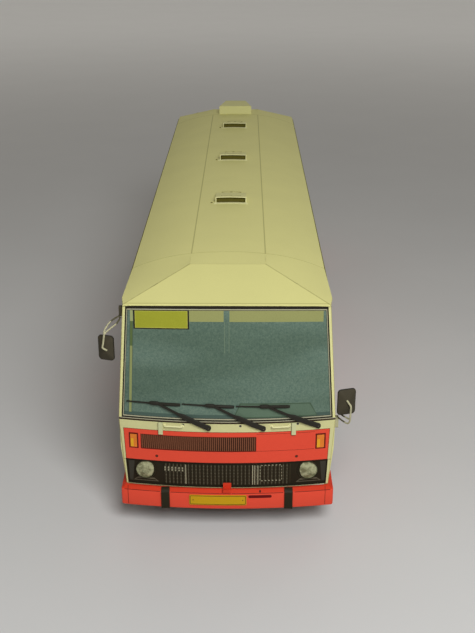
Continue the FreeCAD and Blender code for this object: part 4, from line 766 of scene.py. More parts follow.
panelPrint = {
    "red": [(-27.6, 20.95), (27.3, 20.95), (27.68, 30.45), (-27.98, 30.45)], "edge": 0.13,
    # the crease bands are a rubber strip and, in part, painted shadow under the windscreen's lower edge
    "creaseLine": (32.92, 33.18),
    "washers": ((-11.7, 32.42), (3.58, 32.34), (18.88, 32.5)), "washerRadius": 0.3,
    "latches": ((-19.06, 22.5), (18.75, 22.58)), "latchRadius": 0.42, "rim": 0.14,
    "lines": ((-28.3, -27.5, 20.84, 20.95), (27.5, 28.3, 20.84, 20.95), (7.9, 23.5, 29.72, 29.82),
              (7.9, 23.5, 24.55, 24.65)),  # folds beside the red, then the edges of the flap
}
grilleBox = (
    low("grille", 0) + 0.6, high("grille", 0) - 0.6, low("grille", 2) + 0.6, high("grille", 2) - 1.35)
maskForm = [(-27.1, 13.55), (26.9, 13.55), (27.25, 20.86), (-27.55, 20.86)]
indicatorPrint = {"spans": ((-26.28, -24.2), (24.05, 26.32)), "foot": 24.72, "top": 28.9, "rim": 0.26}


def makeFrontPanel():
    wide, rim = shell["creaseHalf"], panelPrint["rim"]
    washer, latch = panelPrint["washerRadius"], panelPrint["latchRadius"]
    # the front panel's cream is printed darker than the windscreen's: painted shade
    areas = [("postEdge", trapezoid(0.0, footZ, creaseZ)), ("beltCream", trapezoid(0.12, footZ, creaseZ)),
             # dark bands at the crease: rubber strip and painted shadow under the windscreen's edge
             ("brownLine", boxed(-wide, wide, panelPrint["creaseLine"][0], creaseZ)),
             ("rubber", boxed(-wide, wide, *panelPrint["creaseLine"]))]
    outlined(areas, "redLine", "red", panelPrint["red"], panelPrint["edge"])
    areas += [("redLine", boxed(*line)) for line in panelPrint["lines"]]
    for x, z in panelPrint["washers"]:
        areas += [("trim", disc(x, z, washer + 0.12, 12)), ("rubber", disc(x, z, washer, 12))]
    for x, z in panelPrint["latches"]:
        areas += [("redLine", disc(x, z, latch, 12)),
                  ("brownLine", disc(x + 0.06, z - 0.04, latch * 0.6, 12))]
    opened(areas, "redLine", rim, *grilleBox)
    areas += [("rubber", shrunk(maskForm, -rim)), (None, maskForm)]
    for start, end in indicatorPrint["spans"]:
        opened(
            areas, "redLine", indicatorPrint["rim"], start, end, indicatorPrint["foot"],
            indicatorPrint["top"])
    sheet = printedSheet(trapezoid(0.0, footZ, creaseZ), "cream", areas, onPanel, 0.0, -card, 1.5, 5.0)
    makePiece("frontPanelSheet", [sheet], ("front_panel",))


def makeIndicators():
    lamps = []
    foot, top = indicatorPrint["foot"], indicatorPrint["top"]
    for start, end in indicatorPrint["spans"]:
        edges = (start, end, foot, top)
        areas = [("orange", boxed(*grown(edges, -0.14))),
                 # a pale strip near one side of the lens is a painted highlight
                 ("orangePale", boxed(start + 0.25, start + 1.0, foot + 0.3, top - 1.5))]
        form = boxed(*grown(edges, -0.03))
        lamps.append(printedSheet(form, "maroon", areas, onPanel, 0.12, 0.12 - card, 0.8, 3.0))
    makePiece("indicatorLamps", lamps, ("indicators",), bevel=(0.06, 2, 50))


makeFrontPanel()
makeIndicators()
print("front panel done")

# Slatted grille: fifty-seven upright slats before a dark sheet

slats = {"count": 57, "share": 0.5, "depth": 0.3, "setback": 0.12, "sheetSetback": 0.45, "lap": 0.55}


def makeGrille():
    left, right, foot, top = grilleBox
    pitch, back = (right - left) / slats["count"], -slats["sheetSetback"]
    sheet = printedSheet(boxed(*grown(grilleBox, slats["lap"])), "slatBack", [], onPanel, back, back - card)
    lean = math.atan((onPanel(0, top).y - onPanel(0, foot).y) / (top - foot))
    size = (pitch * slats["share"], slats["depth"], top - foot - 0.1)
    bars = barsOn(slats["count"], left + pitch / 2, pitch, (foot + top) / 2, size,
                  -slats["setback"] - slats["depth"] / 2, "slat", -lean)
    makePiece("grilleSlats", [sheet, bars], ("grille",))


makeGrille()

# Lamp band: black sheet with a printed mesh, brighter bars and the two lamps' recesses

band = {
    "setback": 0.45, "lap": 0.14, "mesh": (-17.4, 17.3, 13.95, 20.2), "pitch": 1.03, "thin": 0.12,
    "deep": 0.16, "paleBars": (-11.25, 6.9, 7.5, 8.35), "markRun": (-16.9, -12.13, 6),
    "markRows": ((18.95, 0.5), (18.22, 0.45)), "rows": 6, "frame": (8.95, 14.8, 15.2, 20.0), "dashes": 6,
    "recesses": (("recess", ((26.75, 14.1), (25.9, 14.1), (25.3, 20.3), (27.0, 20.3))),
                 ("bar", ((25.75, 14.25), (18.7, 14.25), (20.0, 15.3), (24.4, 15.3))),
                 ("black", ((25.2, 14.45), (19.3, 14.45), (19.8, 14.85), (24.7, 14.85)))),
    "lampX": (0.0, 21.9, -22.15), "lampZ": high("headlamp_left", 2) - 2.5,  # lampX goes by side
}


def makeLampBand():
    left, right, foot, top = band["mesh"]
    areas = [("mesh", boxed(*band["mesh"]))]
    for side in (-1, 1):
        areas += [(ink, [(side * x, z) for x, z in spots]) for ink, spots in band["recesses"]]
    back = -band["setback"]
    sheet = printedSheet(shrunk(maskForm, -band["lap"]), "black", areas, onPanel, back, back - card)
    height, middle, pitch, deep = top - foot, (top + foot) / 2, band["pitch"], band["deep"]
    count, start = int((right - left) / pitch) + 1, left + 0.2
    between = (count - 1, start + pitch / 2, pitch)
    bars = [(count, start, pitch, middle, (0.3, deep, height), "black"),
            (*between, middle, (band["thin"], deep * 0.7, height), "bar")]
    bars += [(*between, foot + height * (row + 0.5) / band["rows"], (0.3, deep * 1.5, 0.16), "bar")
             for row in range(band["rows"])]
    bars += [(1, x, 1.0, middle, (0.22, deep * 2, height - 0.3), "barPale") for x in band["paleBars"]]
    first, last, marks = band["markRun"]
    bars += [(marks, first, (last - first) / (marks - 1), z, (0.34, deep * 2, tall), "barPale")
             for z, tall in band["markRows"]]
    boxLeft, boxRight, boxFoot, boxTop = band["frame"]
    wide, gaps = boxRight - boxLeft, band["dashes"] - 1
    bars += [
        (gaps + 1, boxLeft + 0.5, (wide - 1.0) / gaps, z, (0.42, deep * 2, 0.16), "barPale")
        for z in (boxFoot, boxTop)]
    tall = (boxTop - boxFoot) / gaps
    bars += [(2, boxLeft, wide, boxFoot + tall * (index + 0.5), (0.14, deep * 2, 0.5), "barPale")
             for index in range(gaps)]
    parts = [sheet] + [barsOn(*bar[:5], deep / 2 - band["setback"], bar[5]) for bar in bars]
    makePiece("lampBandSheet", parts, ("lamp_band",))


makeLampBand()

# Headlamps: a rim and a domed glass with ribs in rings

headlamp = {"radius": 2.78, "glass": 2.7, "proud": 0.5, "dome": 0.5, "deep": 1.4, "sides": 48,
            "rings": (0.996, 0.952, 0.888, 0.8, 0.712, 0.616, 0.516, 0.412, 0.304, 0.192, 0.08)}


def makeHeadlamp(side, name):
    lampX, lampZ = band["lampX"][side], band["lampZ"]
    radius, glass, proud, deep, sides = [
        headlamp[key] for key in ("radius", "glass", "proud", "deep", "sides")]
    centre = Vector((lampX, onPanel(lampX, lampZ).y + card, lampZ))
    back = Vector((0, 1, 0))
    profile = [(deep, radius), (0.0, radius), (0.1 - proud, radius), (-proud, radius - 0.04),
               (0.05 - proud, glass + 0.02), (-0.2, glass - 0.03), (deep, glass - 0.03)]
    rim = turned(profile, centre, back, sides, "lampRim")
    rings = []
    for index, share in enumerate(headlamp["rings"]):
        # every second ring is a rib
        reach = -headlamp["dome"] * (1 - share ** 2) - 0.08 + (0.035 if index % 2 else 0.0)
        rings.append([centre + back * reach + Vector((math.cos(a), 0, math.sin(a))) * share * glass
                      for a in [2 * math.pi * turn / sides for turn in range(sides)]])
    dome = lofted([[spot + back for spot in rings[0]]] + rings, "lampGlass")
    makePiece(f"headlamp_{name}_glass", [rim, dome], (f"headlamp_{name}",), smooth=50)


makeHeadlamp(-1, "right")
makeHeadlamp(1, "left")
print("grille and lamps done")

# Bumpers: a folded strip that follows the bow and wraps round the corners

bumperForm = {
    "foot": low("bumper_front", 2) - 0.4, "fold": 12.5, "top": high("bumper_front", 2), "slope": 1.0,
    "bow": 2.4, "half": high("bumper_front", 0), "reach": 12.3, "corner": 0.5, "deep": 1.55,
    "lowerRound": 0.5, "seams": (-27.2, 26.8)}


def bumperPath(sign, inset):
    # the plan line of the bumper's face from the end of one flank round to the other
    half, radius, bow = bumperForm["half"] - inset, bumperForm["corner"], bumperForm["bow"]
    face = (rearY if sign > 0 else -frontY) - inset
    side = face - bow
    spots = [(half, face + inset - bumperForm["reach"]), (half, side - radius * 2.2), (half, side - radius)]
    for index in range(1, 6):
        angle = math.pi / 2 * index / 6
        spots.append((half - radius * (1 - math.cos(angle)), side - radius * (0.9 - math.sin(angle))))
    corner, steps = [(-x, y) for x, y in reversed(spots)], 40
    for index in range(steps + 1):
        x = (half - radius) * (1 - 2 * index / steps)
        spots.append((x, face - bow * (x / half) ** 2))
    return [(x, y * sign) for x, y in spots + corner]


def makeBumper(sign, name):
    foot, fold, top, slope, deep, lowerRound = [
        bumperForm[key] for key in ("foot", "fold", "top", "slope", "deep", "lowerRound")]
    levels = [
        (foot, 0.45), (foot + 0.06, 0.2), (foot + 0.2, 0.06), (foot + 0.45, 0.0), (fold - 0.08, 0.0),
        (fold, 0.03), (fold + 0.07, 0.12), (top - 0.06, slope - 0.05), (top, slope + 0.05), (top, deep),
        (foot, deep)]
    columns = [[(x, y, z) for x, y in bumperPath(sign, inset)] for z, inset in levels]
    rings = []
    for index in range(len(columns[0])):
        ring = []
        for level, column in enumerate(columns):
            x, y, z = column[index]
            ahead = min(1.0, max(0.0, (bumperForm["half"] - abs(x)) / lowerRound))
            if z < foot + lowerRound and level != len(columns) - 1:
                z = max(z, foot + (1 - math.sqrt(max(0.0, 1 - (1 - ahead) ** 2))) * lowerRound)
            ring.append(Vector((x, y, z)))
        rings.append(ring)
    points, faces, names = lofted(rings, "red")
    for index in range(len(names) - 2):
        if index % len(levels) in (6, 7, 8):  # the top of the fold
            names[index] = "redDeep"
    makePiece(f"bumper_{name}_strip", [(points, faces, names)], (f"bumper_{name}",), smooth=28)


def onBumper(x, z, lift=0.0):
    # the front bumper's face, and its sloping top over the fold
    slope = bumperForm["slope"] * max(0.0, z - bumperForm["fold"]) / (bumperForm["top"] - bumperForm["fold"])
    return Vector((x, frontY + bumperForm["bow"] * (x / bumperForm["half"]) ** 2 + slope - lift, z))


trimPrint = {"slot": (5.75, 12.15, 11.05, 11.95), "hole": (8.95, 12.86), "plate": (-10.3, 5.26, 9.0, 12.05),
             "strapX": (-16.85, 16.72), "strapWide": 2.3, "strapOut": 0.42, "lineDeep": 0.03,
             "foldLines": ((-28.2, -18.3), (-15.4, -1.3), (1.3, 15.3), (18.4, 28.2))}


def makeBumperTrim():
    foot, fold, top, deep = bumperForm["foot"], bumperForm["fold"], bumperForm["top"], trimPrint["lineDeep"]
    seams = [boxed(x - 0.07, x + 0.07, foot + 0.5, top - 0.08) for x in bumperForm["seams"]]
    folds = [boxed(left, right, fold - 0.05, fold + 0.05) for left, right in trimPrint["foldLines"]]
    parts = [printedSheet(line, "redLine", [], onBumper, deep, -deep, 1.0, 0.2) for line in seams]
    parts += [printedSheet(line, "redLine", [], onBumper, deep, -0.15, 1.2, 0.05) for line in folds]
    slot, inner = rounded(*trimPrint["slot"], 0.44), rounded(*grown(trimPrint["slot"], -0.1), 0.33)
    parts.append(printedSheet(slot, "redLine", [("maroon", inner)], onBumper, deep, -deep, 0.8, 4.0))
    x, z = trimPrint["hole"]
    hole = [("rubber", disc(x, z, 0.15, 10))]
    parts.append(printedSheet(disc(x, z, 0.26, 14), "redLine", hole, onBumper, deep, -0.1))
    makePiece("bumperPrint", parts)


def makePlate(name, onto, *edges):
    left, right, foot, top = edges
    areas = [(ink, rounded(*grown(edges, -edge), radius, 3))
             for ink, edge, radius in (("rubber", 0.16, 0.3), ("yellow", 0.304, 0.22))]
    areas += [("brownLine", disc(x, (foot + top) / 2, 0.17, 8)) for x in (left + 1.0, right - 1.0)]
    sheet = printedSheet(rounded(*edges, 0.35, 4), "yellow", areas, onto, 0.3, 0.05, 1.2, 4.0)
    makePiece(f"plate_{name}", [sheet], (f"number_plate_{name}",))


def makeStraps():
    foot, fold, top, slope = [bumperForm[key] for key in ("foot", "fold", "top", "slope")]
    half, out = trimPrint["strapWide"] / 2, trimPrint["strapOut"]
    line = (
        (1.25, foot - 0.12), (0.1, foot - 0.12), (-out * 0.8, foot - 0.04), (-out, foot + 0.3),
        (-out, fold - 0.1), (0.12 - out, fold + 0.22), (slope - 0.32, top + 0.22),
        (slope + 0.1, top + 0.28), (slope + 0.1, top - 0.1), (0.12, fold), (0.02, fold - 0.2),
        (0.02, foot + 0.3), (0.1, foot - 0.02), (1.25, foot - 0.02))
    parts = [slab(x - half, half * 2, [(onBumper(x, 10.0).y + back, z) for back, z in line], "strap")
             for x in trimPrint["strapX"]]
    makePiece("strapPair", parts, ("bumper_straps",), bevel=(0.05, 2, 40))


def makeTowTab():
    face, foot, half = frontY, bumperForm["fold"] + 0.35, 1.12
    fold, top = foot + 0.75, high("tow_tab", 2) + 0.6
    line = (
        (-0.35, foot), (-0.05, foot), (-0.05, fold + 0.12), (0.95, 13.34), (1.25, 13.4), (1.25, top),
        (0.85, top), (0.85, 13.75), (-0.35, fold + 0.32))
    tab = slab(-half, half * 2, [(face + back, z) for back, z in line], "redDeep")
    edge = slab(
        -half - 0.03, half * 2 + 0.06, boxed(face - 0.38, face - 0.3, foot - 0.03, foot + 0.08), "redLine")
    makePiece("towTabFold", [tab, edge], ("tow_tab",), bevel=(0.05, 2, 40))


makeBumper(-1, "front")
makeBumper(1, "rear")
makeBumperTrim()
makePlate("front", onBumper, *trimPrint["plate"])
makePlate("rear", lambda x, z, lift=0.0: Vector((x, rearY + lift, z)), *nodeBox("number_plate_rear"))
makeStraps()
makeTowTab()
print("bumpers done")

# Hinge tabs, grab handles and wipers

tabPrint = {"x": 17.8, "wide": 1.25, "top": 32.9, "foot": 29.3, "handleX": 14.3, "handleWide": 5.2,
            "handleZ": 32.2, "handleOut": 0.85, "handleRadius": 0.2}


def onFront(x, z, lift=0.0):
    return onScreen(x, z, lift) if z > creaseZ else onPanel(x, z, lift)


def makeTabs():
    parts = []
    half, foot, top = tabPrint["wide"] / 2, tabPrint["foot"], tabPrint["top"]
    for centre in (-tabPrint["x"], tabPrint["x"]):
        left, right = centre - half, centre + half
        areas = [("brownLine", boxed(left, right, foot, foot + 0.1)),
                 ("mesh", boxed(left, left + 0.08, foot + 0.12, top))]
        parts.append(printedSheet(boxed(left, right, foot, top), "tab", areas, onPanel, 0.42, 0.05, 0.6, 2.0))
    makePiece("hingeTabPair", parts, ("hinge_tabs",), bevel=(0.04, 2, 50))


def makeHandles():
    parts = []
    out, z, half = tabPrint["handleOut"], tabPrint["handleZ"], tabPrint["handleWide"] / 2 - 0.2
    bend = [(half, -0.1, 0.02), (half, -0.1, out * 0.55), (half - 0.5, 0.0, out)]
    for centre in (-tabPrint["handleX"], tabPrint["handleX"]):
        spots = [(-x, up, lift) for x, up, lift in bend] + [(0.0, 0.05, out + 0.05)] + bend[::-1]
        route = curved([onPanel(centre + x, z + up, lift) for x, up, lift in spots], 6)
        parts.append(tube(route, [tabPrint["handleRadius"]] * len(route), 12, "creamPale"))
        for x in (centre - half, centre + half):
            parts.append(printedSheet(disc(x, z - 0.1, 0.42, 16), "creamPale", [], onPanel, 0.1, -0.02, 1.0))
    makePiece("grabHandlePair", parts, ("grab_handles",), smooth=60)


wiper = {
    "blades": ((-26.75, 38.42, -12.3, 38.15), (-11.95, 38.4, 1.95, 37.85), (2.42, 38.0, 16.7, 37.66)),
    "pivots": ((-4.95, 31.98), (9.6, 31.75), (24.3, 31.85)), "steps": 24, "lift": 0.3,
    "bladeTip": 0.13, "bladeHeel": 0.37, "bladeDeep": 0.34,  # half heights and depth of a blade
    "clip": (6.15, 8.75), "clipTall": 0.42, "clipDeep": 0.6, "clipRise": 0.16,
    "armStart": 8.6, "waist": (0.38, 0.52), "armThin": 0.3, "armWide": 0.7, "armDeep": 0.3,
    "pivotRadius": 0.76,
}


def easing(value, start, end):
    share = min(1.0, max(0.0, (value - start) / (end - start)))
    return share * share * (3 - 2 * share)


def ringOn(x, z, spots):
    return [onFront(x, z + up, rise) for up, rise in spots]


def makeBlade(tipX, tipZ, heelX, heelZ):
    rings = []
    lift, steps = wiper["lift"], wiper["steps"]
    for step in range(steps + 1):
        share = step / steps
        swell = 0.35 * share + 0.65 * easing(share, 0.3, 0.66)
        half = wiper["bladeTip"] + (wiper["bladeHeel"] - wiper["bladeTip"]) * swell
        half *= 1 - 0.3 * easing(share, 0.94, 1.0)
        deep = wiper["bladeDeep"] * (0.5 + 0.5 * easing(share, 0.0, 0.5))
        line = ((-half, lift - 0.14), (-half, lift + deep * 0.5), (-half * 0.2, lift + deep),
                (half * 0.7, lift + deep * 0.8), (half, lift + deep * 0.3), (half, lift - 0.14))
        rings.append(ringOn(tipX + (heelX - tipX) * share, tipZ + (heelZ - tipZ) * share, line))
    return lofted(rings, "wiper")


def makeClip(tipX, tipZ, heelX, heelZ):
    rings = []
    lift, (start, end) = wiper["lift"], wiper["clip"]
    for share, swell in ((0.0, 0.45), (0.12, 0.85), (0.4, 1.0), (0.8, 1.0), (0.95, 0.8), (1.0, 0.5)):
        x = tipX + start + (end - start) * share
        z = tipZ + (heelZ - tipZ) * (x - tipX) / (heelX - tipX) + wiper["clipRise"]
        half, rise = wiper["clipTall"] * swell, lift + wiper["clipDeep"] * (0.6 + 0.4 * swell)
        rings.append(ringOn(x, z, ((-half, lift), (-half, rise - 0.08), (-half * 0.6, rise),
                                   (half * 0.6, rise), (half, rise - 0.08), (half, lift))))
    return lofted(rings, "wiper")


def makeArmOf(tipX, tipZ, heelX, heelZ, pivotX, pivotZ):
    # a thin rod from the clip that runs into a wide folded arm over the pivot
    rings, steps = [], wiper["steps"]
    holdX = tipX + wiper["armStart"]
    holdZ = tipZ + (heelZ - tipZ) * (holdX - tipX) / (heelX - tipX)
    across = Vector((holdZ - pivotZ, 0, pivotX - holdX)).normalized()
    edge = Vector((0, -0.12, 0))
    for step in range(steps + 1):
        share = step / steps
        swell = (wiper["armWide"] - wiper["armThin"]) * easing(share, *wiper["waist"])
        half = across * (wiper["armThin"] + swell)
        x, z = holdX + (pivotX - holdX) * share, holdZ + (pivotZ - holdZ) * share
        rise = wiper["lift"] + 0.35 + 0.2 * math.sin(math.pi * share)
        middle, back = onFront(x, z, rise), onFront(x, z, rise - wiper["armDeep"])
        rings.append([middle - half, middle - half * 0.8 + edge, middle + half * 0.8 + edge, middle + half,
                      back + half, back - half])
    return lofted(rings, "wiper")


def makeWiper(index, name):
    blade, pivot, radius = wiper["blades"][index], wiper["pivots"][index], wiper["pivotRadius"]
    face, forward = onPanel(*pivot), Vector((0, -1, 0))
    knob = turned([(-0.02, 0.001), (-0.02, radius * 0.7), (0.3, radius * 0.7), (0.34, radius), (0.76, radius),
                   (0.84, radius * 0.9), (0.86, 0.001)], face, forward, 32, "wiper")
    pin = turned(
        [(0.82, 0.001), (0.82, 0.16), (0.93, 0.15), (0.95, 0.001)], face + Vector((0.12, 0, -0.05)),
        forward, 8, "wireDark")
    makePiece(
        f"wiper_{name}_blade", [makeBlade(*blade), makeClip(*blade), makeArmOf(*blade, *pivot), knob, pin],
        (f"wiper_{name}",), smooth=40)


makeTabs()
makeHandles()
for wiperIndex, wiperName in enumerate(("right", "middle", "left")):
    makeWiper(wiperIndex, wiperName)
print("wipers done")

# Mirrors: peaked housings on doubled wire arms

mirror = {
    "right": {"x": 31.45, "z": 53.35, "wide": 4.4, "tall": 7.05},
    "left": {"x": 31.8, "z": 37.7, "wide": 5.1, "tall": 7.55},
    "glassY": frontY + 6.2, "rim": 0.42, "deep": 1.5, "turn": 16.0, "corner": 0.95, "wire": 0.22,
}


def housingRing(centre, halfX, halfZ, radius, y):
    return [Vector((x, y, z)) for x, z in rounded(centre.x - halfX, centre.x + halfX, centre.z - halfZ,
                                                  centre.z + halfZ, radius, 5)]


def makeMirror(side, name):
    form, y, rim = mirror[name], mirror["glassY"], mirror["rim"]
    z, wide, tall, corner = form["z"], form["wide"] / 2, form["tall"] / 2, mirror["corner"]
    centre = Vector((side * form["x"], y, z))
    rings = [housingRing(centre, wide - less, tall - less, corner - less, y - back)
             for less, back in ((0.06, 0.0), (0.0, 0.06), (0.0, rim), (0.1, rim + 0.07))]
    for share in (0.35, 0.7, 0.92, 1.0):
        back = rim + 0.07 + (mirror["deep"] - rim - 0.07) * share ** 0.85
        sizes = [(size - 0.1) * (1 - share) + tip * share
                 for size, tip in ((wide, 0.55), (tall, 1.0), (corner, 0.3))]
        rings.append(housingRing(centre, *sizes, y - back))
    points, faces, names = lofted(rings, "mirrorBack")
    ringed = len(rings[0]) * 3
    names[:ringed] = ["mirrorRim"] * ringed
    wide, tall = wide - 0.35, tall - 0.35
    glassForm = rounded(centre.x - wide, centre.x + wide, z - tall, z + tall, 0.7, 5)
    glass = printedSheet(glassForm, "mirrorGlass", [], lambda a, b, lift: Vector((a, y + lift, b)), 0.04,
                         -0.05, 2.0)
    turn = Matrix.Rotation(side * math.radians(mirror["turn"]), 3, "Z")
    parts = [([centre + turn @ (spot - centre) for spot in partPoints], partFaces, partInks)
             for partPoints, partFaces, partInks in ((points, faces, names), glass)]
    makePiece(f"mirror_{name}_housing", parts, (f"mirror_{name}",), smooth=24)


arms = {  # points in mm: across, behind the bumper face, height; for the right side mirrored
    "right": {
        "outer": ((27.81, 8.4, 61.44), (29.23, 7.6, 60.87), (30.39, 6.4, 60.3),
                  (31.15, 5.2, 59.52), (31.57, 4.5, 58.75), (31.74, 4.2, 57.98)),
        "inner": ((27.79, 8.6, 60.96), (28.36, 8.0, 59.91), (29.1, 7.0, 59.38), (30.13, 5.8, 58.9),
                  (31.09, 4.7, 58.39), (31.64, 4.25, 57.78)),
        "stem": ((31.55, 4.5, 58.48), (31.76, 4.15, 57.1), (32.01, 4.15, 55.47),
                  (32.27, 4.3, 54.13), (31.87, 4.35, 53.65), (31.15, 4.4, 53.21)),
        "bracket": (28.05, 61.4, 64.1), "depth": (7.9, 9.2),
    },
    "left": {
        "outer": ((29.85, 8.4, 31.79), (30.93, 7.0, 31.5), (31.93, 5.6, 31.46), (32.5, 4.8, 31.72),
                  (32.83, 4.3, 32.57), (32.9, 4.1, 33.53)),
        "inner": ((30.0, 8.6, 33.1), (31.05, 7.2, 32.89), (31.95, 5.8, 32.99), (32.54, 4.8, 33.12),
                  (32.79, 4.3, 33.42), (32.9, 4.1, 34.15)),
        "stem": ((32.87, 4.3, 32.73), (32.89, 4.05, 34.18), (32.95, 4.0, 35.9),
                  (32.92, 4.05, 37.18), (32.48, 4.25, 37.91), (31.83, 4.45, 38.84)),
        "bracket": (30.15, 28.6, 31.9), "depth": (7.9, 9.3),
    },
}


def makeArm(side, name):
    arm, sides, parts = arms[name], 12, []
    for key in ("outer", "inner", "stem"):
        route = curved([Vector((side * x, frontY + y, z)) for x, y, z in arm[key]], 8)
        radius = mirror["wire"] * (1.15 if key == "stem" else 1.0)
        points, faces, names = tube(route, [radius] * len(route), sides, "wire")
        if key != "stem":  # the root of a wire lies in shade
            names[:sides * 14] = ["wireDark"] * sides * 14
        parts.append((points, faces, names))
    outerX, foot, top = arm["bracket"]
    start, end = arm["depth"]
    plate = rounded(frontY + start, frontY + end, foot, top, 0.3, 3)
    skin = flankHalf((foot + top) / 2 if side < 0 else foot)
    ink = "mirrorBack" if side < 0 else "wire"
    parts.append(slab(side * (skin + 0.04), side * (outerX - skin), plate, ink))
    makePiece(f"mirror_arm_{name}_wire", parts, (f"mirror_arm_{name}",), smooth=50)


makeMirror(-1, "right")
makeMirror(1, "left")
makeArm(-1, "right")
makeArm(1, "left")
print("mirrors done")

# Roof: a folded sheet between two hipped caps, with gutters along the eaves

roofForm = {"steps": 26, "crownSteps": 14, "edge": (0.16, 3, 42), "gutterOut": 0.22}


def roofHeight(x):
    # the outer face of the roof over a place across the bus
    half, top = roofSeam["half"], roofSeam["height"]
    across = abs(x)
    if across <= half:
        return top + roofSeam["crown"] * (1 - (across / half) ** 2)
    run, rise = eaveHalf - half, top - eave
    long = math.hypot(run, rise)
    share = (eaveHalf - across) / run
    for _ in range(6):
        swell = 4 * roofSeam["bulge"] * share * (1 - share)
        share = (eaveHalf - across + swell * rise / long) / run
    swell = 4 * roofSeam["bulge"] * share * (1 - share)
    return eave + rise * share + swell * run / long


def roofLine():
    half = roofSeam["half"]
    line = [eaveHalf - (eaveHalf - half) * index / roofForm["steps"] for index in range(roofForm["steps"])]
    line += [half * (1 - 2 * index / roofForm["crownSteps"]) for index in range(roofForm["crownSteps"] + 1)]
    return line + [-x for x in reversed(line[:roofForm["steps"]])]


def onRoof(x, y, lift=0.0):
    return Vector((x, y, roofHeight(x) + lift))


def makeRoofMiddle():
    areas = []
    for name in ("front", "middle", "rear"):
        vent = f"roof_vent_{name}"
        hole = boxed(low(vent, 0) + 0.6, high(vent, 0) - 0.6, low(vent, 1) + 0.2, high(vent, 1) - 0.8)
        areas.append((None, hole))
    outline = boxed(-eaveHalf, eaveHalf, noseArch + 0.02, tailArch - 0.02)
    sheet = printedSheet(outline, "roof", areas, onRoof, 0.0, -card, 0.7, 24.0)
    makePiece("roofSheet", [sheet], ("roof_middle",), smooth=30, bevel=(0.12, 2, 60))


def makeCap(name, lip, hip, arch):
    step = 1 if arch > lip else -1
    half, ridge = roofSeam["half"], roofSeam["height"]
    folds, crowns = roofForm["steps"], roofForm["crownSteps"]
    lipX, start = eaveHalf - cornerCut["across"], arch - 0.02 * step
    cutX = eaveHalf + cornerCut["flare"] * (name == "nose")
    points, faces = [], []

    def ruled(first, second, count):  # a surface between two lines of as many points
        base, wide = len(points), len(first)
        for row in range(count + 1):
            points.extend(here + (there - here) * (row / count) for here, there in zip(first, second))
        for row in range(count):
            for index in range(wide - 1):
                corner = base + row * wide + index
                faces.append([corner, corner + 1, corner + wide + 1, corner + wide])

    def divided(low, high):
        return [low + (high - low) * (index / folds) for index in range(folds + 1)]

    line = [Vector((x, start, roofHeight(x))) for x in roofLine()]
    for sign in (1, -1):
        arched = [Vector((spot.x * sign, spot.y, spot.z)) for spot in line[:folds + 1]]
        top = Vector((sign * half, hip, ridge))
        folded = divided(Vector((sign * cutX, lip + cornerCut["back"] * step, eave)), top)
        ruled(arched, folded, 10)
        ruled(folded, divided(Vector((sign * lipX, lip, eave)), top), 2)
    crown = line[folds:folds + crowns + 1]
    straight = [Vector((spot.x, hip, ridge)) for spot in crown]
    ruled(crown, straight, 4)
    ruled(straight, [Vector((spot.x / half * lipX, lip, eave)) for spot in crown], 8)
    skin = bmesh.new()
    verts = [skin.verts.new(point) for point in points]
    for face in faces:
        around = []
        for index in face:
            if verts[index] not in around:
                around.append(verts[index])
        skin.faces.new(around)
    bmesh.ops.remove_doubles(skin, verts=skin.verts, dist=0.002)
    bmesh.ops.dissolve_degenerate(skin, edges=skin.edges, dist=0.002)
    bmesh.ops.recalc_face_normals(skin, faces=skin.faces)
    if sum(face.normal.z * face.calc_area() for face in skin.faces) < 0:
        bmesh.ops.reverse_faces(skin, faces=skin.faces)
    cap = thickened(skin, ["roof"], Vector, lambda spot: spot - Vector((0, 0, card)))
    makePiece(f"roof_{name}_cap", [cap], (f"roof_{name}",), smooth=7, bevel=roofForm["edge"])


def makeGutters():
    parts = []
    start, end = noseLip + cornerCut["back"] + 0.6, tailLip - cornerCut["back"] - 0.6
    for side in (-1, 1):
        inner, outer = side * (eaveHalf - 0.02), side * (eaveHalf - 0.02 + roofForm["gutterOut"])
        line = ((inner, 0.42), (outer, 0.4), (outer, 0.14), (inner, 0.06))
        spots = [(x, start, eave - down) for x, down in line]
        parts.append(extruded(spots, (0, end - start, 0), "slit"))
    makePiece("eaveGutters", parts)


makeRoofMiddle()
makeCap("nose", noseLip, noseHip, noseArch)
makeCap("tail", tailLip, tailHip, tailArch)
makeGutters()
print("roof done")

# Sides: one printed sheet a side, red under the windows, with windows, arches and doorways cut out

flank = {
    # setbacks behind the two bumper faces
    "foot": (4.65, 5.45), "crease": (5.15, 6.05), "head": (7.72, 9.03),
    "red": (12.4, 7.0), "redTop": 30.45, "line": 0.12, "beltLine": (32.96, 33.42), "drip": (63.9, 64.05),
    "windows": (36.6, 59.6), "windowRound": 0.7, "rubber": 0.38, "post": 2.6, "cab": (12.5, 34.5),
    "bandEnd": 13.5, "arch": 13.9, "archRim": 0.3, "axles": (-68.75, 61.45), "axleHeight": 12.1,
    "flaps": ((-46.0, -22.0, 10.2, 23.2), (-20.0, 4.0, 10.2, 23.2), (6.0, 30.0, 10.2, 23.2),
              (84.0, 112.0, 10.2, 30.0)),
    "filler": (40.5, 20.2, 1.5), "markers": (-100.0, -34.0, 17.0, 92.0), "markerZ": 26.2, "doorRim": 0.3,
    "rail": 15.2, "seatPitch": 8.5, "seat": (2.3, 7.4),
}
doorways = {name: (low(f"door_{name}", 1) - gap, high(f"door_{name}", 1) + gap)
            for name in ("front", "middle", "rear")}
doorFoot, doorHead = low("door_front", 2) - gap, high("door_front", 2) + gap


def spansBetween(start, end, count):
    pitch = (end - start + flank["post"]) / count
    return [(start + pitch * index, start + pitch * (index + 1) - flank["post"]) for index in range(count)]


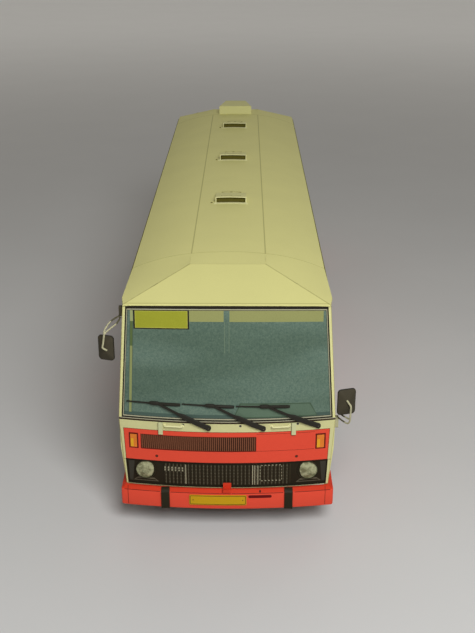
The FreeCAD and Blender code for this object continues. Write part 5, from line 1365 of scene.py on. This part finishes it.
cabWindow = (frontY + flank["cab"][0], frontY + flank["cab"][1])
postWide = flank["post"]
windowSpans = {
    "left": [cabWindow] + spansBetween(cabWindow[1] + postWide, rearY - flank["bandEnd"], 7),
    "right_front": spansBetween(doorways["front"][1] + postWide, doorways["middle"][0] - postWide, 3),
    "right_rear": spansBetween(doorways["middle"][1] + postWide, doorways["rear"][0] - postWide, 3),
}


def paned(areas, rim, radius, rimRadius, steps, *edges):
    # a rounded opening with a rubber round it
    areas += [("rubber", rounded(*grown(edges, rim), rimRadius, steps)),
              (None, rounded(*edges, radius, steps))]


def makeSide(side, name, groups):
    foot, crease, head, line = [flank[key] for key in ("foot", "crease", "head", "line")]
    outline = [
        (frontY + foot[0], shell["skirt"]), (rearY - foot[1], shell["skirt"]), (rearY - foot[1], footZ),
        (rearY - crease[1], creaseZ), (rearY - head[1], headZ), (frontY + head[0], headZ),
        (frontY + crease[0], creaseZ), (frontY + foot[0], footZ)]
    areas = [("cream", boxed(frontY, rearY, 0, z)) for z in (creaseZ, hipZ, footZ)]
    start, end = frontY + flank["red"][0], rearY - flank["red"][1]
    outlined(areas, "redLine", "red", boxed(start, end, 0, flank["redTop"]), line)
    areas += [("redLine", boxed(start, end, z - 0.05, z + 0.05)) for z in (hipZ, footZ)]
    areas += [
        ("rubber", boxed(frontY, rearY, *flank["beltLine"])),
        ("slit", boxed(frontY, rearY, *flank["drip"]))]
    if side > 0:
        for left, right, flapFoot, flapTop in flank["flaps"]:
            outlined(areas, "redLine", "red", rounded(left, right, flapFoot, flapTop, 0.6, 3), line)
            areas += [("maroon", boxed(y - 0.7, y + 0.7, flapTop - 1.3, flapTop - 0.8))
                      for y in (left + 2.2, right - 2.2)]
        y, z, radius = flank["filler"]
        outlined(areas, "redLine", "redDeep", disc(y, z, radius, 20), line)
        areas.append(("redLine", boxed(y - 0.5, y + 0.5, z - 0.1, z + 0.1)))
    z = flank["markerZ"]
    for y in flank["markers"]:
        if side > 0 or not any(doorStart - 2 < y < doorEnd + 2 for doorStart, doorEnd in doorways.values()):
            areas += [("maroon", rounded(y - 1.1, y + 1.1, z - 0.5, z + 0.5, 0.3, 3)),
                      ("orange", rounded(y - 0.95, y + 0.95, z - 0.35, z + 0.35, 0.2, 3))]
    for group in groups:
        for start, end in windowSpans[group]:
            paned(areas, flank["rubber"], flank["windowRound"], 1.0, 3, start, end, *flank["windows"])
    if side < 0:
        for start, end in doorways.values():
            opened(areas, "rubber", flank["doorRim"], start, end, doorFoot, doorHead)
    for axle in flank["axles"]:
        areas += [("rubber", disc(axle, flank["axleHeight"], flank["arch"] + flank["archRim"], 36)),
                  (None, disc(axle, flank["axleHeight"], flank["arch"], 36))]
    sheet = printedSheet(outline, "cream", areas, onFlank(side), 0.0, -card, 12.0, 8.0)
    makePiece(f"side_{name}_sheet", [sheet], (f"side_{name}",))


def makeGlazing(side, name):
    # window print behind the openings: sliding panes over a fixed one, and seat backs below
    node, inset = f"windows_{name}", card + gap
    foot, top = flank["windows"]
    (seatHalf, seatTop), railZ, areas = flank["seat"], foot + flank["rail"], []
    for start, end in windowSpans[name]:
        areas.append(("glass", rounded(*grown((start, end, foot, top), -0.3), 0.5, 3)))
        seats = 1 if (start, end) == cabWindow else int((end - start) / flank["seatPitch"])
        for seat in range(seats):
            y = start + (end - start) * (seat + 0.5) / seats
            seatForm = rounded(y - seatHalf, y + seatHalf, foot + 0.3, foot + seatTop, 1.6, 4)
            areas.append(("panelDark", seatForm))
        middle = (start + end) / 2
        areas += [("rubber", boxed(start, end, railZ - 0.45, railZ + 0.45)),
                  ("trim", boxed(start + 0.2, end - 0.2, railZ - 0.2, railZ + 0.2)),
                  ("rubber", boxed(middle - 0.35, middle + 0.35, railZ + 0.45, top)),
                  ("trim", boxed(middle - 0.12, middle + 0.12, railZ + 0.45, top))]
    outline = boxed(low(node, 1), high(node, 1), low(node, 2), high(node, 2))
    sheet = printedSheet(outline, "rubber", areas, onFlank(side), -inset, -inset - card, 12.0, 8.0)
    makePiece(f"glazing_{name}_sheet", [sheet], (node,))


makeSide(1, "left", ("left",))
makeSide(-1, "right", ("right_front", "right_rear"))
for groupSide, groupName in ((1, "left"), (-1, "right_front"), (-1, "right_rear")):
    makeGlazing(groupSide, groupName)
print("sides done")

# Doors: four folding leaves, each a frame over two panes, on a black backing that shows in the grooves

door = {
    "leaves": 4, "frame": 1.2, "foot": 3.0, "rail": 3.0, "groove": 0.3, "skin": 0.2, "round": 0.9,
    "rubber": 0.26, "railHeight": 26.5, "grip": (34.8, 44.5)}


def makeDoor(name):
    start, end = doorways[name]
    lowZ, highZ = low(f"door_{name}", 2), high(f"door_{name}", 2)
    leaf, frame, half, onDoor = (end - start) / door["leaves"], door["frame"], door["groove"] / 2, onFlank(-1)
    split, railZ = creaseZ - door["rail"] / 2, door["railHeight"]
    parts, backAreas = [], [("black", boxed(start, end, lowZ, z)) for z in (creaseZ, hipZ, footZ)]
    for index in range(door["leaves"]):
        leafStart, leafEnd = start + leaf * index, start + leaf * (index + 1)
        left = leafStart + (half if index else gap)
        right = leafEnd - (half if index < door["leaves"] - 1 else gap)
        areas = [("cream", boxed(left, right, 0, creaseZ)), ("red", boxed(left, right, 0, flank["redTop"])),
                 ("redLine", boxed(left, right, flank["redTop"], flank["redTop"] + flank["line"])),
                 ("red", boxed(left, right, 0, hipZ)), ("red", boxed(left, right, 0, footZ)),
                 ("black", boxed(left, right, 0, lowZ + 0.5))]
        for foot, top in ((lowZ + door["foot"], split), (split + door["rail"], highZ - frame)):
            pane = (leafStart + frame, leafEnd - frame, foot, top)
            backAreas.append(("glass", boxed(*grown(pane, 0.1))))
            paned(areas, door["rubber"], door["round"], 1.1, 3, *pane)
        middle = (left + right) / 2
        backAreas.append(("trim", boxed(middle - 2.5, middle + 2.5, railZ - 0.16, railZ + 0.16)))
        grip = left + 0.55 if index % 2 else right - 0.55
        leafForm = boxed(left, right, lowZ, highZ)
        gripForm = rounded(grip - 0.14, grip + 0.14, *door["grip"], 0.13, 3)
        parts += [printedSheet(leafForm, "cream", areas, onDoor, 0.0, -door["skin"], 8.0, 8.0),
                  printedSheet(gripForm, "black", [], onDoor, 0.22, -0.02, 1.0, 4.0)]
    parts.append(printedSheet(boxed(start + gap, end - gap, lowZ, highZ), "black", backAreas, onDoor,
                              -door["skin"] - 0.01, -card, 10.0, 8.0))
    makePiece(f"door_{name}_leaves", parts, (f"door_{name}",))


for doorName in doorways:
    makeDoor(doorName)
print("doors done")

# Roof vents with a dark slit in front, and the raised box over the tail

ventForm = {"wall": 0.28, "rise": 0.28, "swell": 0.12, "slit": 0.9, "rim": 0.35, "print": (3.3, 3.4, 1.15),
            "dot": (-6.3, 0.35), "border": 1.3, "seat": 69.75, "sides": 24}


def makeVent(name):
    node = f"roof_vent_{name}"
    start, end, half = low(node, 1), high(node, 1), high(node, 0)
    wall, seat, slit, sides = [ventForm[key] for key in ("wall", "seat", "slit", "sides")]
    top = high(node, 2) + ventForm["rise"]
    tailZ = low(node, 2) + wall

    def onLid(x, y, lift=0.0):
        share = (y - start) / (end - start)
        return Vector((x, y, top + (tailZ - top) * share - ventForm["swell"] * (x / half) ** 2 + lift))

    def ringed(centre, share, shareWide):  # the printed ring's outline round a place behind the vent's front
        return [(long * share * math.cos(turn), centre + wide * shareWide * math.sin(turn))
                for turn in [math.pi * 2 * index / sides for index in range(sides)]]

    back, long, wide = ventForm["print"]
    middle, behind = start + back, end + 1.3
    areas = [
        ("ventPrint", ringed(middle, 1.0, 1.0)), ("cream", ringed(middle, 0.88, 0.72)),
        ("ventPrint", disc(0.0, middle, 0.35, 10)),
        ("creamPale", boxed(-half, half, start, start + ventForm["rim"])),
        ("ventPrint", boxed(-half, half, end - 0.25, end - 0.1))]
    parts = [printedSheet(boxed(-half, half, start, end), "cream", areas, onLid, 0.0, -wall, 1.0, 2.5)]
    line = [(start + 0.02, seat), (end - 0.5, seat), (end - 0.5, tailZ - 0.3), (start + 0.02, top - wall)]
    parts += [slab(x, wall, line, "creamPale") for x in (-half, half - wall)]
    # a dark olive wedge under the lid, seen through the slit, is painted shade inside the vent
    shadedHollow = [(start + slit, seat), (end - 1.2, seat), (start + slit, top - wall - 0.02)]
    parts.append(slab(wall - half, (half - wall) * 2, shadedHollow, "slit"))
    border = boxed(-half - 0.5, half + 0.5, start - ventForm["border"], start + 0.2)
    parts.append(printedSheet(border, "creamPale", [], onRoof, 0.12, -0.1, 1.5, 4.0))
    areas = [("roof", ringed(behind, 0.88, 0.72)), ("ventPrint", disc(0.0, behind, 0.5, 10))]
    parts.append(printedSheet(ringed(behind, 1.0, 1.0), "ventPrint", areas, onRoof, 0.03, -0.1, 1.0, 2.5))
    x, radius = ventForm["dot"]
    parts.append(printedSheet(disc(x, start + 0.5, radius, 12), "slit", [], onRoof, 0.14, -0.1, 1.0, 1.0))
    makePiece(f"roof_vent_{name}_lid", parts, (node,), bevel=(0.05, 2, 60))


roofBox = {"half": (7.4, 4.7), "top": (73.6, 73.1), "seat": 69.7, "edge": (0.22, 3, 50),
           "lines": (70.9, 71.7, 72.5)}


def makeRoofBox():
    start, end = low("roof_intake", 1), high("roof_intake", 1)
    rings = []
    for share in (0.0, 0.02, 0.24, 0.47, 0.6, 0.75, 0.9, 1.0):
        y = start + (end - start) * share
        half, top = [first + (last - first) * share for first, last in (roofBox["half"], roofBox["top"])]
        fall = max(0.0, (y - tailHip) / (tailLip - tailHip))
        foot = roofBox["seat"] + (eave + 0.05 - roofBox["seat"]) * fall
        line = ((half, foot), (half, top), (half * 0.5, top + 0.06))
        rings.append([Vector((x, y, z)) for x, z in line] + [Vector((-x, y, z)) for x, z in line[::-1]])
    parts = [lofted(rings, "cream")]
    half = roofBox["half"][1] - 0.9
    for z in roofBox["lines"]:
        foot = [(x, y, z - 0.18) for x, y in boxed(-half, half, end - 0.05, end + 0.03)]
        parts.append(extruded(foot, (0, 0, 0.36), "slit"))
    makePiece("roofBoxFold", parts, ("roof_intake",), bevel=roofBox["edge"])


for ventName in ("front", "middle", "rear"):
    makeVent(ventName)
makeRoofBox()
print("roof fittings done")

# Rear end: upper sheet with its window, red lower sheet with a louvred hatch and two lamp clusters

rearPrint = {
    "red": ((27.35, 14.0), (27.7, 30.45)), "windowRound": 1.6, "rim": 0.42, "louvres": 9, "margin": 1.4,
    "proud": 0.32, "lamps": (("orange", 0.36), ("tailRed", 0.72), ("tailWhite", 1.0)), "lampRim": 0.22,
    "topLamps": (22.6, 1.5, 60.9, 61.9), "latches": (10.5, 15.8), "hinges": 9.0, "topLine": (26.2, 62.4),
    "lampWide": 3.9,
    "creaseLine": (32.96, 33.25), "wide": 30.0,
}


def makeRearUpper():
    edges = nodeBox("rear_window", gap)
    left, right, foot = edges[:3]
    wide, radius, (lineHalf, lineZ) = rearPrint["wide"], rearPrint["windowRound"], rearPrint["topLine"]
    areas = [("rubber", boxed(-wide, wide, creaseZ, creaseZ + 0.14))]
    paned(areas, rearPrint["rim"], radius, radius + 0.3, 5, *edges)
    areas.append(("ventPrint", boxed(-lineHalf, lineHalf, lineZ, lineZ + 0.12)))
    lampX, lampHalf, lampZ, lampTop = rearPrint["topLamps"]
    for x in (-lampX, lampX):
        lamp = rounded(x - lampHalf, x + lampHalf, lampZ, lampTop, 0.35, 3)
        outlined(areas, "maroon", "tailRed", lamp, 0.14)
    upper = printedSheet(trapezoid(0.0, creaseZ + gap, headZ), "cream", areas, onRearUpper, 0.0, -card)
    makePiece("rearUpperSheet", [upper], ("rear_upper_panel",))
    areas, seats = [("glass", rounded(*grown(edges, -0.6), 1.2, 5))], 5
    for seat in range(seats):
        x = left + (right - left) * (seat + 0.5) / seats
        areas.append(("panelDark", rounded(x - 3.4, x + 3.4, foot + 0.6, foot + 6.4, 1.8, 4)))
    paneForm = rounded(*grown(edges, -0.05), radius, 5)
    pane = printedSheet(paneForm, "rubber", areas, onRearUpper, -0.08, -card + 0.02)
    makePiece("rearWindowPane", [pane], ("rear_window",))


def lampBoxes(grow=0.0):
    half, foot, top = high("tail_lamps", 0), low("tail_lamps", 2), high("tail_lamps", 2)
    wide = rearPrint["lampWide"]
    return [grown((start, start + wide, foot, top), grow) for start in (-half, half - wide)]


def makeRearLower():
    line, wide = panelPrint["edge"], rearPrint["wide"]
    (lowHalf, lowZ), (topHalf, topZ) = rearPrint["red"]
    areas = [("rubber", boxed(-wide, wide, *rearPrint["creaseLine"]))]
    red = [(-lowHalf, lowZ), (lowHalf, lowZ), (topHalf, topZ), (-topHalf, topZ)]
    outlined(areas, "redLine", "red", red, line)
    opened(areas, "redLine", line, *nodeBox("engine_hatch", gap))
    for edges in lampBoxes(0.02):
        opened(areas, "redLine", rearPrint["lampRim"] - 0.02, *edges)
    sheet = printedSheet(trapezoid(0.0, footZ, creaseZ), "cream", areas, onRearLower, 0.0, -card, 1.5, 5.0)
    makePiece("rearLowerSheet", [sheet], ("rear_lower_panel",))


def makeHatch():
    left, right, foot, top = nodeBox("engine_hatch")
    margin, rows = rearPrint["margin"], rearPrint["louvres"]
    pitch = (top - foot - margin * 2) / rows
    areas, parts = [], []
    for side in (-1, 1):
        start, end = sorted((side * margin / 2, side * (right - margin)))
        for row in range(rows):
            lowZ = foot + margin + pitch * row
            highZ = lowZ + pitch * 0.55
            areas.append(("slatBack", boxed(start, end, lowZ - 0.2, lowZ + 0.1)))

            def onLouvre(x, z, lift, lowZ=lowZ, highZ=highZ):
                return onRearLower(x, z, lift * (highZ - z) / (highZ - lowZ) + 0.03 if lift > 0 else lift)

            parts.append(printedSheet(rounded(start, end, lowZ, highZ, 0.28, 2), "redDeep", [], onLouvre,
                                      rearPrint["proud"], -0.12, 3.0, 4.0))
    latchX, latchZ = rearPrint["latches"]
    for x in (-latchX, latchX):
        outlined(areas, "redLine", "maroon", disc(x, latchZ, 0.36, 12), 0.1)
    parts.append(printedSheet(boxed(left, right, foot, top), "red", areas, onRearLower, 0.0, -card))
    for x in (-rearPrint["hinges"], rearPrint["hinges"]):
        hinge = rounded(x - 0.9, x + 0.9, top - 0.75, top - 0.05, 0.2, 3)
        parts.append(printedSheet(hinge, "black", [], onRearLower, 0.2, -0.05, 1.0, 2.0))
    makePiece("engineHatchSheet", parts, ("engine_hatch",))


def makeTailLamps():
    lamps, edge = [], 0.16
    for edges in lampBoxes():
        start, end, lowZ, highZ = grown(edges, -edge)
        tall = highZ - lowZ
        areas = [(ink, boxed(start, end, lowZ, lowZ + tall * reach))
                 for ink, reach in reversed(rearPrint["lamps"])]
        areas += [("rubber", boxed(start, end, lowZ + tall * reach - 0.09, lowZ + tall * reach + 0.09))
                  for ink, reach in rearPrint["lamps"][:-1]]
        form = boxed(*grown(edges, -0.03))
        lamps.append(printedSheet(form, "rubber", areas, onRearLower, 0.15, -card + 0.15, 0.7, 2.0))
    makePiece("tailLampPair", lamps, ("tail_lamps",), bevel=(0.06, 2, 50))


makeRearUpper()
makeRearLower()
makeHatch()
makeTailLamps()
print("rear end done")

# Wheels: grooved card tyres on dished rims with a ring of nuts

wheel = {
    "face": high("tyre_front_left", 0), "width": 6.4, "twinGap": 0.8, "height": 12.1, "sides": 72,
    "nuts": 10, "nutCircle": 4.15, "nutRadius": 0.36, "nutTall": 0.5, "nutReach": 1.86, "bore": 0.67,
    "wall": ((0.34, 7.0), (0.12, 7.7), (0.0, 9.2), (0.0, 10.4), (0.1, 11.2), (0.36, 11.72), (0.8, 12.02)),
    "grooves": ((1.6, 1.85), (3.05, 3.35), (4.55, 4.8)), "grooveDeep": 0.22, "crown": 12.1,
    "rim": ((0.62, 0.67), (0.6, 1.5), (0.72, 2.0), (0.98, 2.36), (1.7, 2.62), (1.96, 2.95), (2.15, 3.3),
            (2.15, 4.95), (2.0, 5.2), (0.85, 5.86), (0.56, 6.08), (0.44, 6.4), (0.46, 6.72), (0.6, 6.9)),
    "darkRings": (5, 8),
}


def tyreProfile(inward):
    crown = wheel["crown"]
    floor = crown - wheel["grooveDeep"]
    wall = [(inward + reach, radius) for reach, radius in wheel["wall"]]
    far = inward + wheel["width"]
    tread = [(inward + 1.2, crown)]
    for start, end in wheel["grooves"]:
        tread += [(inward + start, crown), (inward + start + 0.05, floor), (inward + end - 0.05, floor),
                  (inward + end, crown)]
    tread.append((far - 1.2, crown))
    inks = ["tyre"] * len(wall) + ["tread"] * (len(tread) - 1) + ["tyre"] * (len(wall) + 1)
    return wall + tread + [(far - reach, radius) for reach, radius in reversed(wheel["wall"])], inks


def makeWheel(axle, hand, side):
    centre = Vector((side * wheel["face"], flank["axles"][axle == "rear"], wheel["height"]))
    inwards, width = Vector((-side, 0, 0)), wheel["width"]
    body = f"wheel_{axle}_{hand}"
    reaches = [0.0] if axle == "front" else [0.0, width + wheel["twinGap"]]
    tyres = []
    for reach in reaches:
        profile, inks = tyreProfile(reach)
        tyres.append(turned(profile, centre, inwards, wheel["sides"], "tyre", inks))
    makePiece(f"tyre_{axle}_{hand}_ring", tyres, (f"tyre_{axle}_{hand}",), smooth=40, body=body)
    width += reaches[-1]
    profile = list(wheel["rim"]) + [(width - 0.5, 6.9), (width - 0.4, 6.6), (width - 0.4, wheel["bore"])]
    inks = ["rimDark" if index in wheel["darkRings"] else "rim" for index in range(len(profile))]
    dish = turned(profile, centre, inwards, 48, "rim", inks)
    middle = centre + inwards * wheel["nutReach"]
    nuts = grownPart(wheelNuts, {"Count": wheel["nuts"], "Circle": wheel["nutCircle"] * mm,
                                 "Nut Radius": wheel["nutRadius"] * mm, "Nut Height": wheel["nutTall"] * mm,
                                 "Middle": tuple(middle * mm)}, "steel")
    makePiece(
        f"hub_{axle}_{hand}_dish", [dish, nuts], (f"hub_{axle}_{hand}",), smooth=32, body=body)


for wheelSide, wheelHand in ((-1, "right"), (1, "left")):
    for wheelAxle in ("front", "rear"):
        makeWheel(wheelAxle, wheelHand, wheelSide)
print("wheels done")

# What stays as built underneath: floor boards, wheel wells, axle blocks and wire axles

underside = {"floor": "board", "bearer_front": "board", "bearer_rear": "board", "axle_front": "steel",
             "axle_rear": "steel"}
underside.update(
    {f"well_{axle}_{hand}": "boardDark" for axle in ("front", "rear") for hand in ("left", "right")})
for nodeName, inkName in underside.items():
    kept = nodes[nodeName]
    if not kept.material_slots:
        kept.data.materials.append(inkBook[inkName])
    for materialSlot in kept.material_slots:
        materialSlot.material = inkBook[inkName]
print("underside dressed")

# Camera, light and floor

view = {"location": (0.00465, -0.35632, 0.16053), "yaw": -0.008, "pitch": 0.398, "focal": 983.66,
        "frame": (475, 633), "sensor": 36.0}


def makeCamera():
    data = bpy.data.cameras.new("camera")
    data.sensor_width = view["sensor"]
    data.sensor_fit = "AUTO"
    data.lens = view["focal"] * view["sensor"] / max(view["frame"])
    data.clip_start = 0.005
    data.clip_end = 20.0
    camera = added("camera", data)
    camera.location = view["location"]
    camera.rotation_euler = (math.pi / 2 - view["pitch"], 0.0, -view["yaw"])
    bpy.context.scene.camera = camera


lighting = {"keyPlace": (0.095, -0.42, 0.34), "keyAim": (0.0, -0.06, 0.03), "keySize": 0.24, "keyPower": 1.82,
            "backTurn": (-68.0, 0.0, -6.0), "backSoft": 60.0, "backPower": 0.7,
            "keyTint": (0.985, 0.992, 0.982), "sky": (1.0, 0.945, 0.85), "skyLevel": 0.125,
            "farPaper": (0.32, 0.312, 0.292, 1.0), "farTint": (1.0, 0.975, 0.915, 1.0), "farGlow": 0.2,
            "farRange": (110.0, 1150.0), "paper": (205, 211)}


def seenDirectly(tree):
    # 1 for what the camera, a gloss or a glass sees, 0 for the light that falls on the bus
    path = place(tree, "ShaderNodeLightPath").outputs
    other = sums(tree, "ADD", path["Is Glossy Ray"], path["Is Transmission Ray"])
    return sums(tree, "MINIMUM", sums(tree, "ADD", path["Is Camera Ray"], other), 1.0)


def makeLights():
    data = bpy.data.lights.new("keyLight", "AREA")
    data.shape = "DISK"
    data.size = lighting["keySize"]
    data.energy = lighting["keyPower"]
    data.color = lighting["keyTint"]
    key = added("keyLight", data)
    key.location = lighting["keyPlace"]
    aim = Vector(lighting["keyAim"]) - Vector(lighting["keyPlace"])
    key.rotation_euler = aim.to_track_quat("-Z", "Y").to_euler()
    data = bpy.data.lights.new("backLight", "SUN")
    data.angle = math.radians(lighting["backSoft"])
    data.energy = lighting["backPower"]
    data.color = lighting["sky"]
    back = added("backLight", data)
    back.rotation_euler = tuple(math.radians(turn) for turn in lighting["backTurn"])
    back.visible_glossy = False
    world = bpy.data.worlds.new("studio")
    bpy.context.scene.world = world
    world.use_nodes = True
    tree = world.node_tree
    sky = tree.nodes["Background"]
    skyColour = tuple(share * lighting["skyLevel"] for share in lighting["sky"]) + (1.0,)
    tree.links.new(mixed(tree, seenDirectly(tree), skyColour, lighting["farPaper"]), sky.inputs["Color"])
    sky.inputs["Strength"].default_value = 1.0


def makeFloor():
    half = 4.0
    mesh = bpy.data.meshes.new("floorPlane")
    mesh.from_pydata(
        [(-half, -half, 0), (half, -half, 0), (half, half, 0), (-half, half, 0)], [], [(0, 1, 2, 3)])
    floor = added("floorPlane", mesh)
    made = bpy.data.materials.new("studioPaper")
    made.use_nodes = True
    tree = made.node_tree
    shader = tree.nodes["Principled BSDF"]
    here = millimetres(tree)
    noise = place(tree, "ShaderNodeTexNoise", {"Vector": here, "Scale": 0.02, "Detail": 3.0})
    shade = place(tree, "ShaderNodeMapRange", {0: noise.outputs["Fac"], 3: 0.0, 4: 1.0}).outputs[0]
    dark, pale = [tone(level, level, level) for level in lighting["paper"]]
    tree.links.new(mixed(tree, shade, dark, pale), shader.inputs["Base Color"])
    shader.inputs["Roughness"].default_value = 0.8
    away = vectorSums(tree, "LENGTH", here).outputs["Value"]
    far = place(
        tree, "ShaderNodeMapRange", {0: away, 1: lighting["farRange"][0], 2: lighting["farRange"][1],
        4: lighting["farGlow"]}, interpolation_type="SMOOTHSTEP").outputs[0]
    tree.links.new(sums(tree, "MULTIPLY", far, seenDirectly(tree)), shader.inputs["Emission Strength"])
    shader.inputs["Emission Color"].default_value = lighting["farTint"]
    mesh.materials.append(made)


makeCamera()
makeLights()
makeFloor()
bpy.context.scene.view_settings.view_transform = "Standard"
print("camera and light done")
